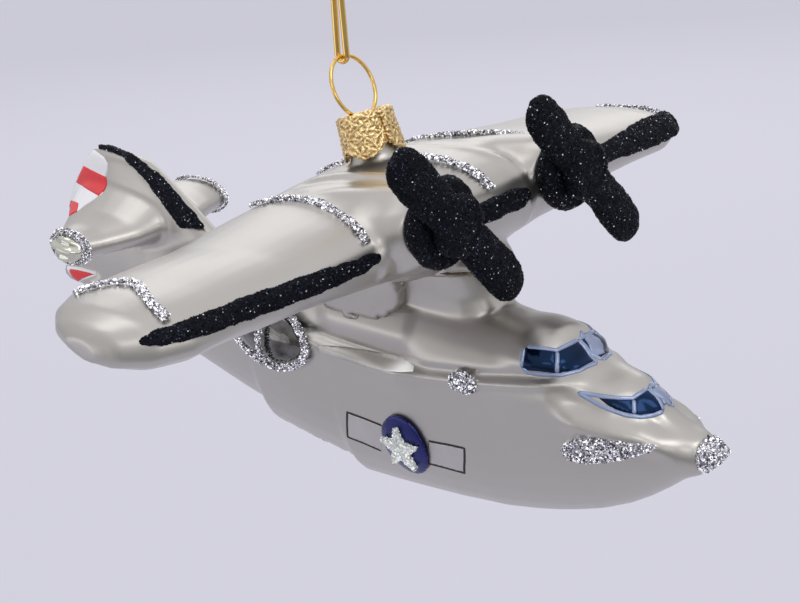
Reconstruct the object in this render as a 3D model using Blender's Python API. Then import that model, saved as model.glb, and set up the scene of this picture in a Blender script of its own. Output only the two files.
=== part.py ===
import math

import bmesh
import bpy
from mathutils import Matrix, Vector
from mathutils.bvhtree import BVHTree

# A blown glass flying boat ornament hanging from a cap, a ring and a hook.
# +X is the nose, +Y the port side and +Z up. All sizes are in millimetres.

MM = 0.001
GAP = 0.30
SHARP = math.radians(40)
FAR = 200.0
PROBE = 0.6

# The hook holds everything up, so the frame starts inside its top bend.
HANG_X = -9.35
HANG_HEIGHT = 84.0

SIDES = ((-1, "starboard"), (1, "port"))

HULL_RING = 30
PYLON_RING = 24
FIN_RING = 24
TAIL_RING = 24
WING_RING = 30
NACELLE_RING = 22

NOSE_BACK = 62.9
NOSE_TIP = 66.2
NOSE_RADIUS = 3.4
NOSE_HEIGHT = -12.4

WING_SEAT = 11.4
WING_ROLL = 0.018
GLUE_RADIUS = 0.32
GLUE_START = 10.8

CAP_BASE = Vector((-3.4, 0.0, 26.9))
CAP_LEAN = math.radians(-17.0)
CAP_HEIGHT = 6.9
CAP_TOP_RADIUS = 4.95
CAP_RIM_RADIUS = 5.45
CAP_WALL = 0.4
CAP_STEPS = 56
CAP_NOTCH = math.radians(-13)
PETAL_DROP = 1.8
NECK_RADIUS = 4.2
NECK_DEPTH = 6.0
NECK_BORE = 3.3
BORE_FLOOR = 2.0
HOLE_RADIUS = 0.95

RING_LEAN = math.radians(-23.0)
RING_WIDE = 4.7
RING_TALL = 5.45
RING_WIRE = 0.35
LEG_SPREAD = 2.3
LEG_LENGTH = 3.0

HOOK_WIRE = 0.56
HOOK_BEND = 1.06
HOOK_PINCH = 0.78
HOOK_PLAY = 0.04
HOOK_RETURN = 15.0
TOP_BEND = 6.5
TOP_SWEEP = math.radians(215)

ENGINE_Y = 16.1
ENGINE_Z = 23.6
COWLING_BACK = 23.9
COWLING_FRONT = 27.6
COWLING_RADIUS = 7.3
PROPELLER_X = 28.6
PROPELLER_LENGTH = 38.8
PROPELLER_SHIFT = 0.6
BLADE_WIDTH = 7.6
BLADE_THICKNESS = 3.0
PROPELLER_TURN = math.radians(43.0)

STRIP_HEIGHT = 0.9
STRIP_START = 25.0
STRIP_END = {-1: 66.4, 1: 63.8}
STRIP_ROUND = 3.0
CENTRE_STRIP = (-8.4, 6.8)
BAND_HEIGHT = 0.5
BAND_WIDTH = 1.4
PANEL_BAND = {"fore": 18.4, "aft": -15.6, "y": 25.4, "sag": 7.4}
CENTRE_BAND = {"front": (22.0, 4.6), "rear": (-11.0, -17.4)}
TIP_BAND = {-1: {"fore": 13.4, "aft": -8.2, "y": 61.8, "sag": 5.4},
            1: {"fore": 11.6, "aft": -3.4, "y": 63.6, "sag": -1.2}}
TIP_SKEW = {-1: 1.8, 1: 1.0}

BLISTER = {"x": -25.4, "z": -8.4, "long": 11.2, "tall": 6.0, "rise": 2.6}
BLISTER_WIRE = 0.75
BUMP = {"x": 22.6, "z": -6.3, "long": 2.9, "tall": 1.7, "rise": 0.9}
CHEEK = {"aft": 41.5, "fore": 57.0, "z_aft": -13.9, "z_fore": -10.2, "tall": 2.3, "rise": 0.7}
ROUNDEL = {"x": 7.4, "z": -22.1, "long": 5.0, "tall": 5.8, "rise": 0.9}
STAR_RADIUS = 4.3
STAR_RISE = 0.7


def place(x, y, z):
    return Vector((x - HANG_X, y, z - HANG_HEIGHT)) * MM


def named(columns, rows):
    return [dict(zip(columns, row)) for row in rows]


def between(table, key, value):
    """Reads a table of named columns at any place along its key column."""
    rows = sorted(table, key=lambda row: row[key])
    value = max(rows[0][key], min(rows[-1][key], value))
    for low, high in zip(rows, rows[1:]):
        if value <= high[key]:
            share = (value - low[key]) / (high[key] - low[key])
            return {name: low[name] + (high[name] - low[name]) * share for name in low}
    return dict(rows[-1])


def bent(value, power):
    return math.copysign(abs(value) ** power, value)


def turns_of(count):
    return [2 * math.pi * step / count for step in range(count)]


def make_material(name, colour, roughness, metallic):
    material = bpy.data.materials.new(name)
    material.use_nodes = True
    shader = material.node_tree.nodes["Principled BSDF"]
    shader.inputs["Base Color"].default_value = (*colour, 1.0)
    shader.inputs["Roughness"].default_value = roughness
    shader.inputs["Metallic"].default_value = metallic
    material.diffuse_color = (*colour, 1.0)
    return material


def smooth(mesh):
    for polygon in mesh.polygons:
        polygon.use_smooth = True
    mesh.set_sharp_from_angle(angle=SHARP)


def mesh_object(name, points, faces, material):
    mesh = bpy.data.meshes.new(name)
    mesh.from_pydata([place(*point) for point in points], [], faces)
    shape = bmesh.new()
    shape.from_mesh(mesh)
    bmesh.ops.recalc_face_normals(shape, faces=shape.faces)
    shape.to_mesh(mesh)
    shape.free()
    thing = bpy.data.objects.new(name, mesh)
    bpy.context.scene.collection.objects.link(thing)
    mesh.materials.append(material)
    smooth(mesh)
    return thing


def strip_faces(rows, count):
    """Quads between neighbouring rings of the same count."""
    faces = []
    for row in range(rows - 1):
        for column in range(count):
            near = row * count + column
            near_next = row * count + (column + 1) % count
            faces.append((near, near_next, near_next + count, near + count))
    return faces


def loft(name, rings, material):
    count = len(rings[0])
    points = [point for ring in rings for point in ring]
    last = (len(rings) - 1) * count
    faces = strip_faces(len(rings), count)
    faces.append(tuple(range(count)))
    faces.append(tuple(last + column for column in range(count)))
    return mesh_object(name, points, faces, material)


def closed_loft(name, rings, material):
    """A loft whose last ring joins its first one, as in a hoop."""
    count = len(rings[0])
    points = [point for ring in rings for point in ring]
    faces = strip_faces(len(rings), count)
    last = (len(rings) - 1) * count
    for column in range(count):
        after = (column + 1) % count
        faces.append((last + column, last + after, after, column))
    return mesh_object(name, points, faces, material)


def shell(name, grid, material):
    """Closes a grid of (inner, outer) points into one thin solid patch."""
    rows = len(grid)
    columns = len(grid[0])
    points = [pair[layer] for layer in (0, 1) for row in grid for pair in row]
    block = rows * columns
    faces = []
    for row in range(rows - 1):
        for column in range(columns - 1):
            near = row * columns + column
            corners = (near, near + 1, near + columns + 1, near + columns)
            faces.append(corners)
            faces.append(tuple(block + corner for corner in reversed(corners)))
    edge = list(range(columns))
    edge += [row * columns + columns - 1 for row in range(1, rows)]
    edge += [(rows - 1) * columns + column for column in range(columns - 2, -1, -1)]
    edge += [row * columns for row in range(rows - 2, 0, -1)]
    for index, corner in enumerate(edge):
        following = edge[(index + 1) % len(edge)]
        faces.append((corner, following, following + block, corner + block))
    return mesh_object(name, points, faces, material)


def sleeve(name, outer, inner, material):
    """A hoop around a section: both arguments are lists of two rings."""
    rings = [outer[0], outer[1], inner[1], inner[0]]
    return closed_loft(name, rings, material)


def boolean(thing, tools, operation):
    for tool in tools:
        modifier = thing.modifiers.new(operation.lower(), "BOOLEAN")
        modifier.operation = operation
        modifier.solver = "EXACT"
        modifier.object = tool
        tool.hide_render = True
        tool.display_type = "WIRE"
    bpy.context.view_layer.update()
    graph = bpy.context.evaluated_depsgraph_get()
    result = bpy.data.meshes.new_from_object(thing.evaluated_get(graph))
    thing.modifiers.clear()
    old = thing.data
    thing.data = result
    bpy.data.meshes.remove(old)
    for tool in tools:
        mesh = tool.data
        bpy.data.objects.remove(tool)
        bpy.data.meshes.remove(mesh)
    smooth(result)
    return thing


def lathe_rings(profile, origin, turn, segments):
    rings = []
    for radius, height in profile:
        ring = []
        for angle in turns_of(segments):
            local = Vector((radius * math.cos(angle), radius * math.sin(angle), height))
            ring.append(origin + turn @ local)
        rings.append(ring)
    return rings


def lathe(name, profile, origin, turn, segments, material):
    return loft(name, lathe_rings(profile, origin, turn, segments), material)


def tube_rings(path, radius, segments, closed):
    rings = []
    side = None
    count = len(path)
    for index, spot in enumerate(path):
        before = path[(index - 1) % count] if closed else path[max(index - 1, 0)]
        after = path[(index + 1) % count] if closed else path[min(index + 1, count - 1)]
        forward = (after - before).normalized()
        if side is None:
            side = forward.orthogonal().normalized()
        side = (side - forward * side.dot(forward)).normalized()
        other = forward.cross(side)
        rings.append([spot + (side * math.cos(angle) + other * math.sin(angle)) * radius
                      for angle in turns_of(segments)])
    return rings


def wire(name, path, radius, segments, material):
    return loft(name, tube_rings(path, radius, segments, False), material)


def hoop(name, path, radius, segments, material):
    return closed_loft(name, tube_rings(path, radius, segments, True), material)


class Skin:
    """Stands points above a finished piece, seen from one side or from above."""

    def __init__(self, thing):
        mesh = thing.data
        points = [vertex.co.copy() for vertex in mesh.vertices]
        faces = [tuple(polygon.vertices) for polygon in mesh.polygons]
        self.tree = BVHTree.FromPolygons(points, faces)

    def hit(self, start, heading):
        found = self.tree.ray_cast(start, heading)
        return found[0] / MM + Vector((HANG_X, 0.0, HANG_HEIGHT))

    def lifted(self, reach, first, second, outward, height):
        spot = reach(first, second)
        along = reach(first + PROBE, second) - reach(first - PROBE, second)
        across = reach(first, second + PROBE) - reach(first, second - PROBE)
        normal = along.cross(across).normalized()
        if normal.dot(outward) < 0:
            normal = -normal
        return spot + normal * height

    def stand(self, x, z, side, height):
        """A point above the skin as seen from port (1) or starboard (-1)."""
        outward = Vector((0.0, side, 0.0))
        return self.lifted(lambda a, b: self.hit(place(a, side * FAR, b), -outward), x, z, outward, height)

    def drape(self, x, y, height):
        """A point above the skin as seen from the top."""
        outward = Vector((0.0, 0.0, 1.0))
        return self.lifted(lambda a, b: self.hit(place(a, b, FAR), -outward), x, y, outward, height)


def pad(name, skin, middle, rim, side, base, rise, rows, material):
    """A raised patch: rings shrink from the rim to the middle over the skin."""
    count = len(rim)
    layers = []
    for level in (0, 1):
        rings = []
        for row in range(rows):
            share = 1.0 - row / rows
            ring = []
            for x, z in rim:
                here_x = middle[0] + (x - middle[0]) * share
                here_z = middle[1] + (z - middle[1]) * share
                height = base(share) + (rise(share) if level else 0.0)
                ring.append(skin.stand(here_x, here_z, side, height))
            rings.append(ring)
        layers.append(rings)
    points = []
    faces = []
    for level, rings in enumerate(layers):
        offset = len(points)
        for ring in rings:
            points += ring
        points.append(skin.stand(middle[0], middle[1], side, base(0.0) + (rise(0.0) if level else 0.0)))
        for face in strip_faces(rows, count):
            faces.append(tuple(offset + corner for corner in face))
        pole = offset + rows * count
        for column in range(count):
            start = offset + (rows - 1) * count
            faces.append((start + column, start + (column + 1) % count, pole))
    block = rows * count + 1
    for column in range(count):
        after = (column + 1) % count
        faces.append((column, after, after + block, column + block))
    return mesh_object(name, points, faces, material)


def oval(spec, grow, count):
    return [(spec["x"] + (spec["long"] + grow) * math.cos(angle),
             spec["z"] + (spec["tall"] + grow) * math.sin(angle)) for angle in turns_of(count)]


def dome(rise):
    return lambda share: rise * math.sqrt(max(0.0, 1.0 - (0.93 * share) ** 2))


for thing in list(bpy.data.objects):
    bpy.data.objects.remove(thing)

SILVER = make_material("satin_silver_glass", (0.62, 0.60, 0.57), 0.35, 0.8)
BLACK_GLITTER = make_material("black_glitter", (0.02, 0.02, 0.025), 0.6, 0.0)
SILVER_GLITTER = make_material("silver_glitter", (0.72, 0.72, 0.75), 0.35, 0.9)
GOLD = make_material("gold_metal", (0.85, 0.62, 0.25), 0.3, 1.0)
BLUE = make_material("blue_enamel", (0.02, 0.06, 0.35), 0.2, 0.0)
WHITE_GLITTER = make_material("white_glitter", (0.85, 0.86, 0.85), 0.5, 0.0)
AMBER = make_material("amber_glue", (0.62, 0.42, 0.14), 0.3, 0.0)
MIRROR = make_material("mirror_glass", (0.85, 0.86, 0.84), 0.06, 1.0)

CAP_TURN = Matrix.Rotation(CAP_LEAN, 3, "Y")
RING_TURN = Matrix.Rotation(RING_LEAN, 3, "Y")
FACE_FORWARD = Matrix.Rotation(math.radians(90), 3, "Y")

# The hull is one blown piece with its pylon, fin and tailplane.
HULL = named(("x", "top", "waist", "bottom", "half"), [
    (-97.0, 0.0, -5.0, -12.4, 0.9),
    (-84.0, 1.6, -6.4, -16.0, 2.3),
    (-70.0, 3.2, -7.2, -19.4, 3.6),
    (-57.6, 3.9, -7.6, -22.4, 4.9),
    (-45.5, 4.2, -8.0, -25.0, 6.3),
    (-33.4, 4.4, -8.2, -27.4, 7.7),
    (-32.6, 4.4, -8.2, -30.6, 7.8),
    (-21.0, 4.6, -8.4, -32.0, 9.0),
    (-9.8, 4.8, -8.4, -33.0, 9.8),
    (-8.8, 4.8, -8.4, -34.8, 9.9),
    (0.0, 5.0, -8.4, -34.2, 10.0),
    (15.8, 4.8, -8.0, -33.0, 10.0),
    (24.5, 4.2, -7.4, -32.0, 9.8),
    (31.0, 3.4, -6.6, -30.7, 9.5),
    (36.0, 2.6, -6.4, -29.4, 9.2),
    (40.0, 0.2, -6.6, -28.2, 8.9),
    (44.0, -1.8, -7.4, -26.8, 8.5),
    (49.5, -3.4, -8.6, -24.2, 7.7),
    (53.0, -4.8, -9.6, -22.0, 6.9),
    (56.4, -7.2, -10.8, -19.4, 5.8),
    (59.4, -8.6, -11.7, -16.9, 4.6),
    (62.6, -9.4, -12.4, -15.3, 3.1),
])

PYLON = named(("z", "front", "back", "half"), [
    (-4.0, 29.5, -4.0, 6.6),
    (3.0, 25.0, -4.0, 6.0),
    (6.0, 23.2, -4.0, 6.2),
    (WING_SEAT - GAP, 22.4, -4.0, 8.0),
])

SADDLE = named(("z", "front", "back", "half"), [
    (-1.0, 8.0, -15.5, 8.6),
    (2.0, 8.2, -15.5, 8.4),
    (6.0, 8.8, -14.8, 8.6),
    (11.0, 10.5, -13.5, 9.8),
    (15.0, 12.0, -13.0, 10.2),
])

SEAT = named(("z", "front", "back", "half"), [
    (WING_SEAT, 22.2, -10.0, 8.2),
    (WING_SEAT + 4.0, 21.5, -10.0, 8.8),
])

FIN = named(("z", "lead", "trail", "half"), [
    (-13.4, -88.0, -98.6, 1.2),
    (-6.0, -74.0, -97.6, 1.7),
    (1.0, -45.0, -96.2, 4.2),
    (4.4, -48.2, -95.0, 4.2),
    (8.0, -53.4, -92.6, 4.0),
    (12.0, -59.4, -89.2, 3.5),
    (15.6, -65.0, -85.8, 2.7),
    (17.2, -69.4, -83.6, 1.7),
    (17.9, -73.4, -81.8, 0.8),
])

TAILPLANE = named(("y", "lead", "trail", "middle", "thick"), [
    (-20.4, -69.2, -73.6, 2.6, 3.0),
    (-19.6, -67.4, -75.4, 2.6, 4.8),
    (-17.8, -66.4, -76.8, 2.6, 5.5),
    (-13.0, -64.4, -80.6, 2.8, 5.8),
    (-8.0, -61.4, -85.0, 3.4, 7.2),
    (-4.5, -59.4, -88.4, 4.4, 10.0),
    (0.0, -58.0, -91.0, 5.6, 13.6),
    (4.5, -59.4, -89.0, 4.4, 10.0),
    (8.0, -61.4, -87.0, 3.7, 7.6),
    (13.0, -64.0, -84.6, 3.6, 6.6),
    (18.0, -66.0, -81.6, 3.6, 6.2),
    (20.2, -67.4, -79.4, 3.6, 5.2),
    (21.2, -69.8, -76.8, 3.6, 3.0),
])

TAIL_HOOP = {-1: (16.9, 18.6), 1: (17.6, 19.2)}
FIN_STRIP_LEVELS = (5.4, 6.7, 8.0, 9.3, 10.6, 12.0, 13.2, 14.4, 15.6, 16.4, 17.2, 17.5)
FIN_STRIP_TOP = 17.9
FIN_STRIP_TURN = (math.radians(-45), math.radians(-15))
FIN_STRIP_HEIGHT = 0.8
FIN_STRIP_STEPS = 6


def hull_ring(row, grow=0.0):
    ring = []
    for angle in turns_of(HULL_RING):
        above = math.sin(angle) > 0
        side = bent(math.cos(angle), 0.9) * (row["half"] + grow)
        rise = bent(math.sin(angle), 1.1 if above else 0.9)
        reach = row["top"] - row["waist"] if above else row["waist"] - row["bottom"]
        ring.append((row["x"], side, row["waist"] + rise * (reach + grow)))
    return ring


def pylon_ring(row, grow=0.0, rise=0.0):
    middle = (row["front"] + row["back"]) / 2
    reach = (row["front"] - row["back"]) / 2 + grow
    return [(middle + reach * bent(math.cos(angle), 0.6),
             (row["half"] + grow) * bent(math.sin(angle), 0.75),
             row["z"] + rise) for angle in turns_of(PYLON_RING)]


def fin_point(z, turn):
    row = between(FIN, "z", z)
    middle = (row["lead"] + row["trail"]) / 2
    reach = (row["lead"] - row["trail"]) / 2
    along = math.cos(turn)
    width = row["half"] * (0.75 + 0.25 * along)
    blunt = 0.65 if along > 0 else 0.85
    return Vector((middle + reach * bent(along, blunt), width * math.sin(turn), z))


def fin_lifted(z, turn, height):
    small = 0.01
    upwards = fin_point(z + small, turn) - fin_point(z - small, turn)
    around = fin_point(z, turn + small) - fin_point(z, turn - small)
    return fin_point(z, turn) + around.cross(upwards).normalized() * height


def tailplane_ring(y, grow=0.0):
    row = between(TAILPLANE, "y", y)
    middle = (row["lead"] + row["trail"]) / 2
    reach = (row["lead"] - row["trail"]) / 2 + grow
    return [(middle + reach * bent(math.cos(angle), 0.85), y,
             row["middle"] + (row["thick"] / 2 + grow) * math.sin(angle)) for angle in turns_of(TAIL_RING)]


hull = loft("hull", [hull_ring(row) for row in HULL], SILVER)
pylon = loft("pylon", [pylon_ring(row) for row in PYLON], SILVER)
fin = loft("fin", [[fin_point(row["z"], turn) for turn in turns_of(FIN_RING)] for row in FIN], SILVER)
tailplane = loft("tailplane", [tailplane_ring(row["y"]) for row in TAILPLANE], SILVER)
boolean(hull, [pylon, fin, tailplane], "UNION")
hull_skin = Skin(hull)

# Silver glitter cone on the nose.
lathe("nose_cone", [(NOSE_RADIUS, NOSE_BACK), (NOSE_RADIUS * 0.92, NOSE_BACK + 0.9),
                    (NOSE_RADIUS * 0.62, NOSE_BACK + 2.4), (NOSE_RADIUS * 0.2, NOSE_TIP)],
      Vector((0.0, 0.0, NOSE_HEIGHT)), FACE_FORWARD, 24, SILVER_GLITTER)

# The wing is a second blown piece, with both nacelles and the neck for the cap.
# Blown glass is never quite even: the port tip came out shorter and flatter.
WING = named(("y", "lead", "lead_z", "trail", "trail_z", "thick"), [
    (-70.0, 6.4, 17.2, -0.6, 18.0, 3.6),
    (-68.6, 10.4, 17.2, -4.6, 18.4, 6.4),
    (-65.4, 14.8, 17.3, -8.8, 18.6, 8.6),
    (-60.0, 17.6, 17.4, -12.4, 18.2, 9.2),
    (-52.5, 18.2, 17.8, -14.4, 17.2, 8.8),
    (-38.0, 19.0, 18.3, -16.4, 16.2, 9.2),
    (-25.0, 20.2, 18.6, -18.2, 16.6, 11.4),
    (-9.0, 23.2, 19.4, -18.8, 17.4, 14.8),
    (0.0, 23.6, 19.6, -19.0, 17.8, 15.4),
    (9.0, 23.2, 19.4, -18.8, 17.9, 15.4),
    (25.0, 20.2, 18.6, -18.2, 17.5, 12.8),
    (38.0, 19.0, 18.2, -16.4, 17.2, 10.6),
    (50.5, 18.2, 17.4, -14.4, 17.0, 9.0),
    (58.0, 17.6, 16.8, -12.0, 16.8, 8.2),
    (62.6, 15.4, 16.4, -8.8, 16.4, 7.2),
    (65.8, 11.0, 16.0, -4.6, 16.0, 5.0),
    (67.1, 6.8, 15.8, -0.4, 15.8, 2.4),
])

NACELLE = named(("x", "height", "radius"), [
    (COWLING_BACK - GAP, 22.9, 6.2),
    (20.0, 21.6, 7.2),
    (12.0, 20.0, 7.6),
    (3.0, 19.2, 6.6),
    (-6.0, 18.6, 4.8),
    (-13.0, 18.2, 2.4),
])


def wing_point(y, turn):
    row = between(WING, "y", y)
    share = 0.5 + 0.5 * bent(math.cos(turn), 0.9)
    along = row["trail"] + (row["lead"] - row["trail"]) * share
    line = row["trail_z"] + (row["lead_z"] - row["trail_z"]) * share
    rise = bent(math.sin(turn), 0.9) * (1.0 + 0.28 * math.cos(turn)) * row["thick"] / 2
    return Vector((along, y, line + rise + y * WING_ROLL))


def wing_normal(y, turn):
    small = 0.01
    along_y = wing_point(y + small, turn) - wing_point(y - small, turn)
    along_turn = wing_point(y, turn + small) - wing_point(y, turn - small)
    return along_y.cross(along_turn).normalized()


wing_places = [row["y"] for row in WING]
wing = loft("wing", [[wing_point(y, turn) for turn in turns_of(WING_RING)] for y in wing_places], SILVER)
parts = []
for side, label in SIDES:
    lift = side * ENGINE_Y * WING_ROLL
    rings = [[(row["x"], side * ENGINE_Y + row["radius"] * math.cos(angle),
               row["height"] + lift + row["radius"] * math.sin(angle)) for angle in turns_of(NACELLE_RING)]
             for row in NACELLE]
    parts.append(loft("nacelle", rings, SILVER))
parts.append(lathe("neck", [(6.4, -6.0), (5.0, -2.4), (NECK_RADIUS, -0.6), (NECK_RADIUS, NECK_DEPTH)],
                   CAP_BASE, CAP_TURN, 28, SILVER))
parts.append(loft("saddle", [pylon_ring(row) for row in SADDLE], SILVER))
parts.append(loft("seat", [pylon_ring(row) for row in SEAT], SILVER))
boolean(wing, parts, "UNION")
bore = lathe("bore", [(NECK_BORE, BORE_FLOOR), (NECK_BORE, NECK_DEPTH + 4.0)], CAP_BASE, CAP_TURN, 24, SILVER)
hull_room = loft("hull_room", [hull_ring(row, GAP) for row in HULL], SILVER)
rings = [pylon_ring(row, GAP, GAP if row is PYLON[-1] else 0.0) for row in PYLON]
pylon_room = loft("pylon_room", rings, SILVER)
boolean(wing, [bore, hull_room, pylon_room], "DIFFERENCE")
wing_skin = Skin(wing)

# Amber glue squeezed out along the joint between pylon and wing.
outline = pylon_ring(PYLON[-1], GAP + GLUE_RADIUS, GAP / 2 - GLUE_RADIUS)
outline = outline[PYLON_RING // 2:] + outline[:PYLON_RING // 2]
path = [Vector(spot) for spot in outline if spot[0] > GLUE_START]
wire("glue_bead", path, GLUE_RADIUS, 8, AMBER)

# Cowlings and propellers are cast pieces rolled in black glitter.
BLADE = named(("share", "width", "thick"), [
    (-1.0, 0.40, 0.50), (-0.96, 0.68, 0.75), (-0.88, 0.90, 0.95), (-0.72, 1.0, 1.0), (-0.45, 0.95, 1.0),
    (-0.2, 0.90, 1.05), (0.0, 1.10, 1.15), (0.2, 0.90, 1.05), (0.45, 0.95, 1.0), (0.72, 1.0, 1.0),
    (0.88, 0.90, 0.95), (0.96, 0.68, 0.75), (1.0, 0.40, 0.50)])
BLADE_ALONG = Vector((0.0, math.sin(PROPELLER_TURN), -math.cos(PROPELLER_TURN)))
BLADE_ACROSS = Vector((0.0, math.cos(PROPELLER_TURN), math.sin(PROPELLER_TURN)))
for side, label in SIDES:
    middle = Vector((0.0, side * ENGINE_Y, ENGINE_Z + side * ENGINE_Y * WING_ROLL))
    profile = [(5.2, COWLING_BACK), (COWLING_RADIUS - 0.6, COWLING_BACK + 0.3),
               (COWLING_RADIUS, (COWLING_BACK + COWLING_FRONT) / 2),
               (COWLING_RADIUS - 0.7, COWLING_FRONT - 0.5), (4.6, COWLING_FRONT)]
    lathe("cowling_" + label, profile, middle, FACE_FORWARD, 28, BLACK_GLITTER)
    hub = middle + Vector((PROPELLER_X, 0.0, 0.0))
    rings = []
    for row in BLADE:
        centre = hub + BLADE_ALONG * (PROPELLER_SHIFT + row["share"] * PROPELLER_LENGTH / 2)
        rings.append([centre + BLADE_ACROSS * (math.cos(angle) * row["width"] * BLADE_WIDTH / 2)
                      + Vector((math.sin(angle) * row["thick"] * BLADE_THICKNESS / 2, 0.0, 0.0))
                      for angle in turns_of(16)])
    propeller = loft("propeller_" + label, rings, BLACK_GLITTER)
    boss = lathe("boss", [(4.9, PROPELLER_X - 1.2), (4.9, PROPELLER_X + 1.1), (4.2, PROPELLER_X + 1.9),
                          (1.6, PROPELLER_X + 2.0)], middle, FACE_FORWARD, 24, BLACK_GLITTER)
    boolean(propeller, [boss], "UNION")
    corners = ((-40, -40), (40, -40), (40, 40), (-40, 40))
    backing = loft("backing", [[(x, side * ENGINE_Y + y, ENGINE_Z + z) for y, z in corners]
                               for x in (COWLING_FRONT - 8.0, COWLING_FRONT + GAP)], BLACK_GLITTER)
    path = []
    for step in range(13):
        angle = math.radians(-100 + 190 * step / 12)
        path.append(hub + Vector((BLADE_THICKNESS / 2 + 0.9, 2.9 * math.cos(angle), 2.9 * math.sin(angle))))
    groove = wire("groove", path, 0.9, 8, BLACK_GLITTER)
    boolean(propeller, [backing, groove], "DIFFERENCE")


def wing_patch(name, rows, height, material):
    """Each row is a list of (y, turn) places on the wing."""
    grid = []
    for row in rows:
        line = []
        for y, turn in row:
            spot = wing_point(y, turn)
            normal = wing_normal(y, turn)
            line.append((spot + normal * GAP, spot + normal * (GAP + height)))
        grid.append(line)
    return shell(name, grid, material)


# Where the strips' lower and upper edges lie, in degrees round the wing's section.
STRIP_EDGES = {
    -1: named(("y", "low", "high"), [(-67.0, 12.0, 36.0), (-60.0, 9.0, 35.0), (-52.0, 1.5, 31.0),
                                     (-45.0, -3.0, 27.0), (-38.0, -5.0, 23.0), (-32.0, -3.0, 18.0),
                                     (-24.0, 1.0, 15.0)]),
    0: named(("y", "low", "high"), [(-9.0, 2.5, 13.5), (7.0, 2.5, 13.5)]),
    1: named(("y", "low", "high"), [(24.0, 1.0, 15.0), (38.0, 2.0, 23.0), (48.0, 0.0, 33.0),
                                    (58.0, 3.0, 40.0), (66.0, 6.0, 42.0)]),
}


def edge_rows(start, end, count, edges, steps):
    """Rows from start to end, closer together and narrower towards both round ends."""
    rows = []
    for index in range(count):
        y = start + (end - start) * (0.5 - 0.5 * math.cos(math.pi * index / (count - 1)))
        inward = min(1.0, min(abs(y - start), abs(end - y)) / STRIP_ROUND)
        taper = max(0.35, math.sqrt(1.0 - (1.0 - inward) ** 2))
        row = between(edges, "y", y)
        middle = math.radians(row["low"] + row["high"]) / 2
        reach = math.radians(row["high"] - row["low"]) / 2 * taper
        rows.append([(y, middle - reach + 2 * reach * step / (steps - 1)) for step in range(steps)])
    return rows


# Black glitter strips on the leading edges.
for side, label in SIDES:
    rows = edge_rows(side * STRIP_START, side * STRIP_END[side], 22, STRIP_EDGES[side], 7)
    wing_patch("leading_strip_" + label, rows, STRIP_HEIGHT, BLACK_GLITTER)
rows = edge_rows(*CENTRE_STRIP, 12, STRIP_EDGES[0], 5)
wing_patch("leading_strip_centre", rows, STRIP_HEIGHT, BLACK_GLITTER)


def band(name, route, count):
    """A narrow strip over the top of the wing, along route(share) in plan."""
    grid = []
    for index in range(count):
        share = index / (count - 1)
        spot = route(share)
        ahead = (route(share + 0.01) - route(share - 0.01)).normalized()
        across = Vector((-ahead.y, ahead.x)) * BAND_WIDTH / 2
        line = []
        for column in (-1, 0, 1):
            x, y = spot + across * column
            line.append((wing_skin.drape(x, y, GAP), wing_skin.drape(x, y, GAP + BAND_HEIGHT)))
        grid.append(line)
    return shell(name, grid, SILVER_GLITTER)


def swept(spec, side, arc, skew=1.0):
    """A route from fore to aft that sags inboard by a sine over the given arc.

    A skew above 1 brings the deepest place nearer to the aft end.
    """
    return lambda share: Vector((
        spec["fore"] + (spec["aft"] - spec["fore"]) * share,
        side * (spec["y"] - spec["sag"] * math.sin(arc * max(share, 0.0) ** skew))))


# Silver glitter bands over the top of the wing.
for side, label in SIDES:
    band("tip_band_" + label, swept(TIP_BAND[side], side, math.pi, TIP_SKEW[side]), 18)
    band("panel_band_" + label, swept(PANEL_BAND, side, math.pi / 2), 24)
for label, (fore, aft) in CENTRE_BAND.items():
    band("centre_band_" + label, swept({"fore": fore, "aft": aft, "y": 0.0, "sag": 0.0}, 1, math.pi), 10)

# Black glitter strip up the front of the fin and over its top, and a glitter hoop round each
# tailplane tip.
grid = []
for z in FIN_STRIP_LEVELS:
    line = []
    for step in range(FIN_STRIP_STEPS + 1):
        turn = FIN_STRIP_TURN[0] + (FIN_STRIP_TURN[1] - FIN_STRIP_TURN[0]) * step / FIN_STRIP_STEPS
        line.append((fin_lifted(z, turn, GAP + 0.1), fin_lifted(z, turn, GAP + 0.1 + FIN_STRIP_HEIGHT)))
    grid.append(line)
for share in (0.15, 0.5, 1.0):
    line = []
    for step in range(FIN_STRIP_STEPS + 1):
        across = (0.8 - 0.6 * share) * (step / FIN_STRIP_STEPS * 1.2 - 1.0)
        spot = Vector((-76.0 - 4.8 * share, across, FIN_STRIP_TOP + GAP))
        line.append((spot, spot + Vector((0.0, 0.0, FIN_STRIP_HEIGHT * (1.0 - 0.4 * share)))))
    grid.append(line)
shell("fin_strip", grid, BLACK_GLITTER)
for side, label in SIDES:
    places = [side * y for y in TAIL_HOOP[side]]
    sleeve("tail_hoop_" + label, [tailplane_ring(y, GAP + 0.6) for y in places],
           [tailplane_ring(y, GAP) for y in places], SILVER_GLITTER)


# Raised pieces on each side of the hull.
def teardrop(spec, count):
    rim = []
    middle = (spec["aft"] + spec["fore"]) / 2
    reach = (spec["fore"] - spec["aft"]) / 2
    for angle in turns_of(count):
        share = math.cos(angle)
        x = middle + reach * share
        z = (spec["z_aft"] + spec["z_fore"]) / 2 + (spec["z_fore"] - spec["z_aft"]) / 2 * share
        rim.append((x, z + spec["tall"] * math.sin(angle) * (1.0 - 0.55 * share) * 0.75))
    return rim


def star_rim(spec, radius):
    rim = []
    for point in range(10):
        reach = radius if point % 2 == 0 else radius * 0.42
        angle = math.pi / 2 + math.pi * point / 5
        rim.append((spec["x"] + reach * math.cos(angle), spec["z"] + reach * math.sin(angle)))
    return rim


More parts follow.
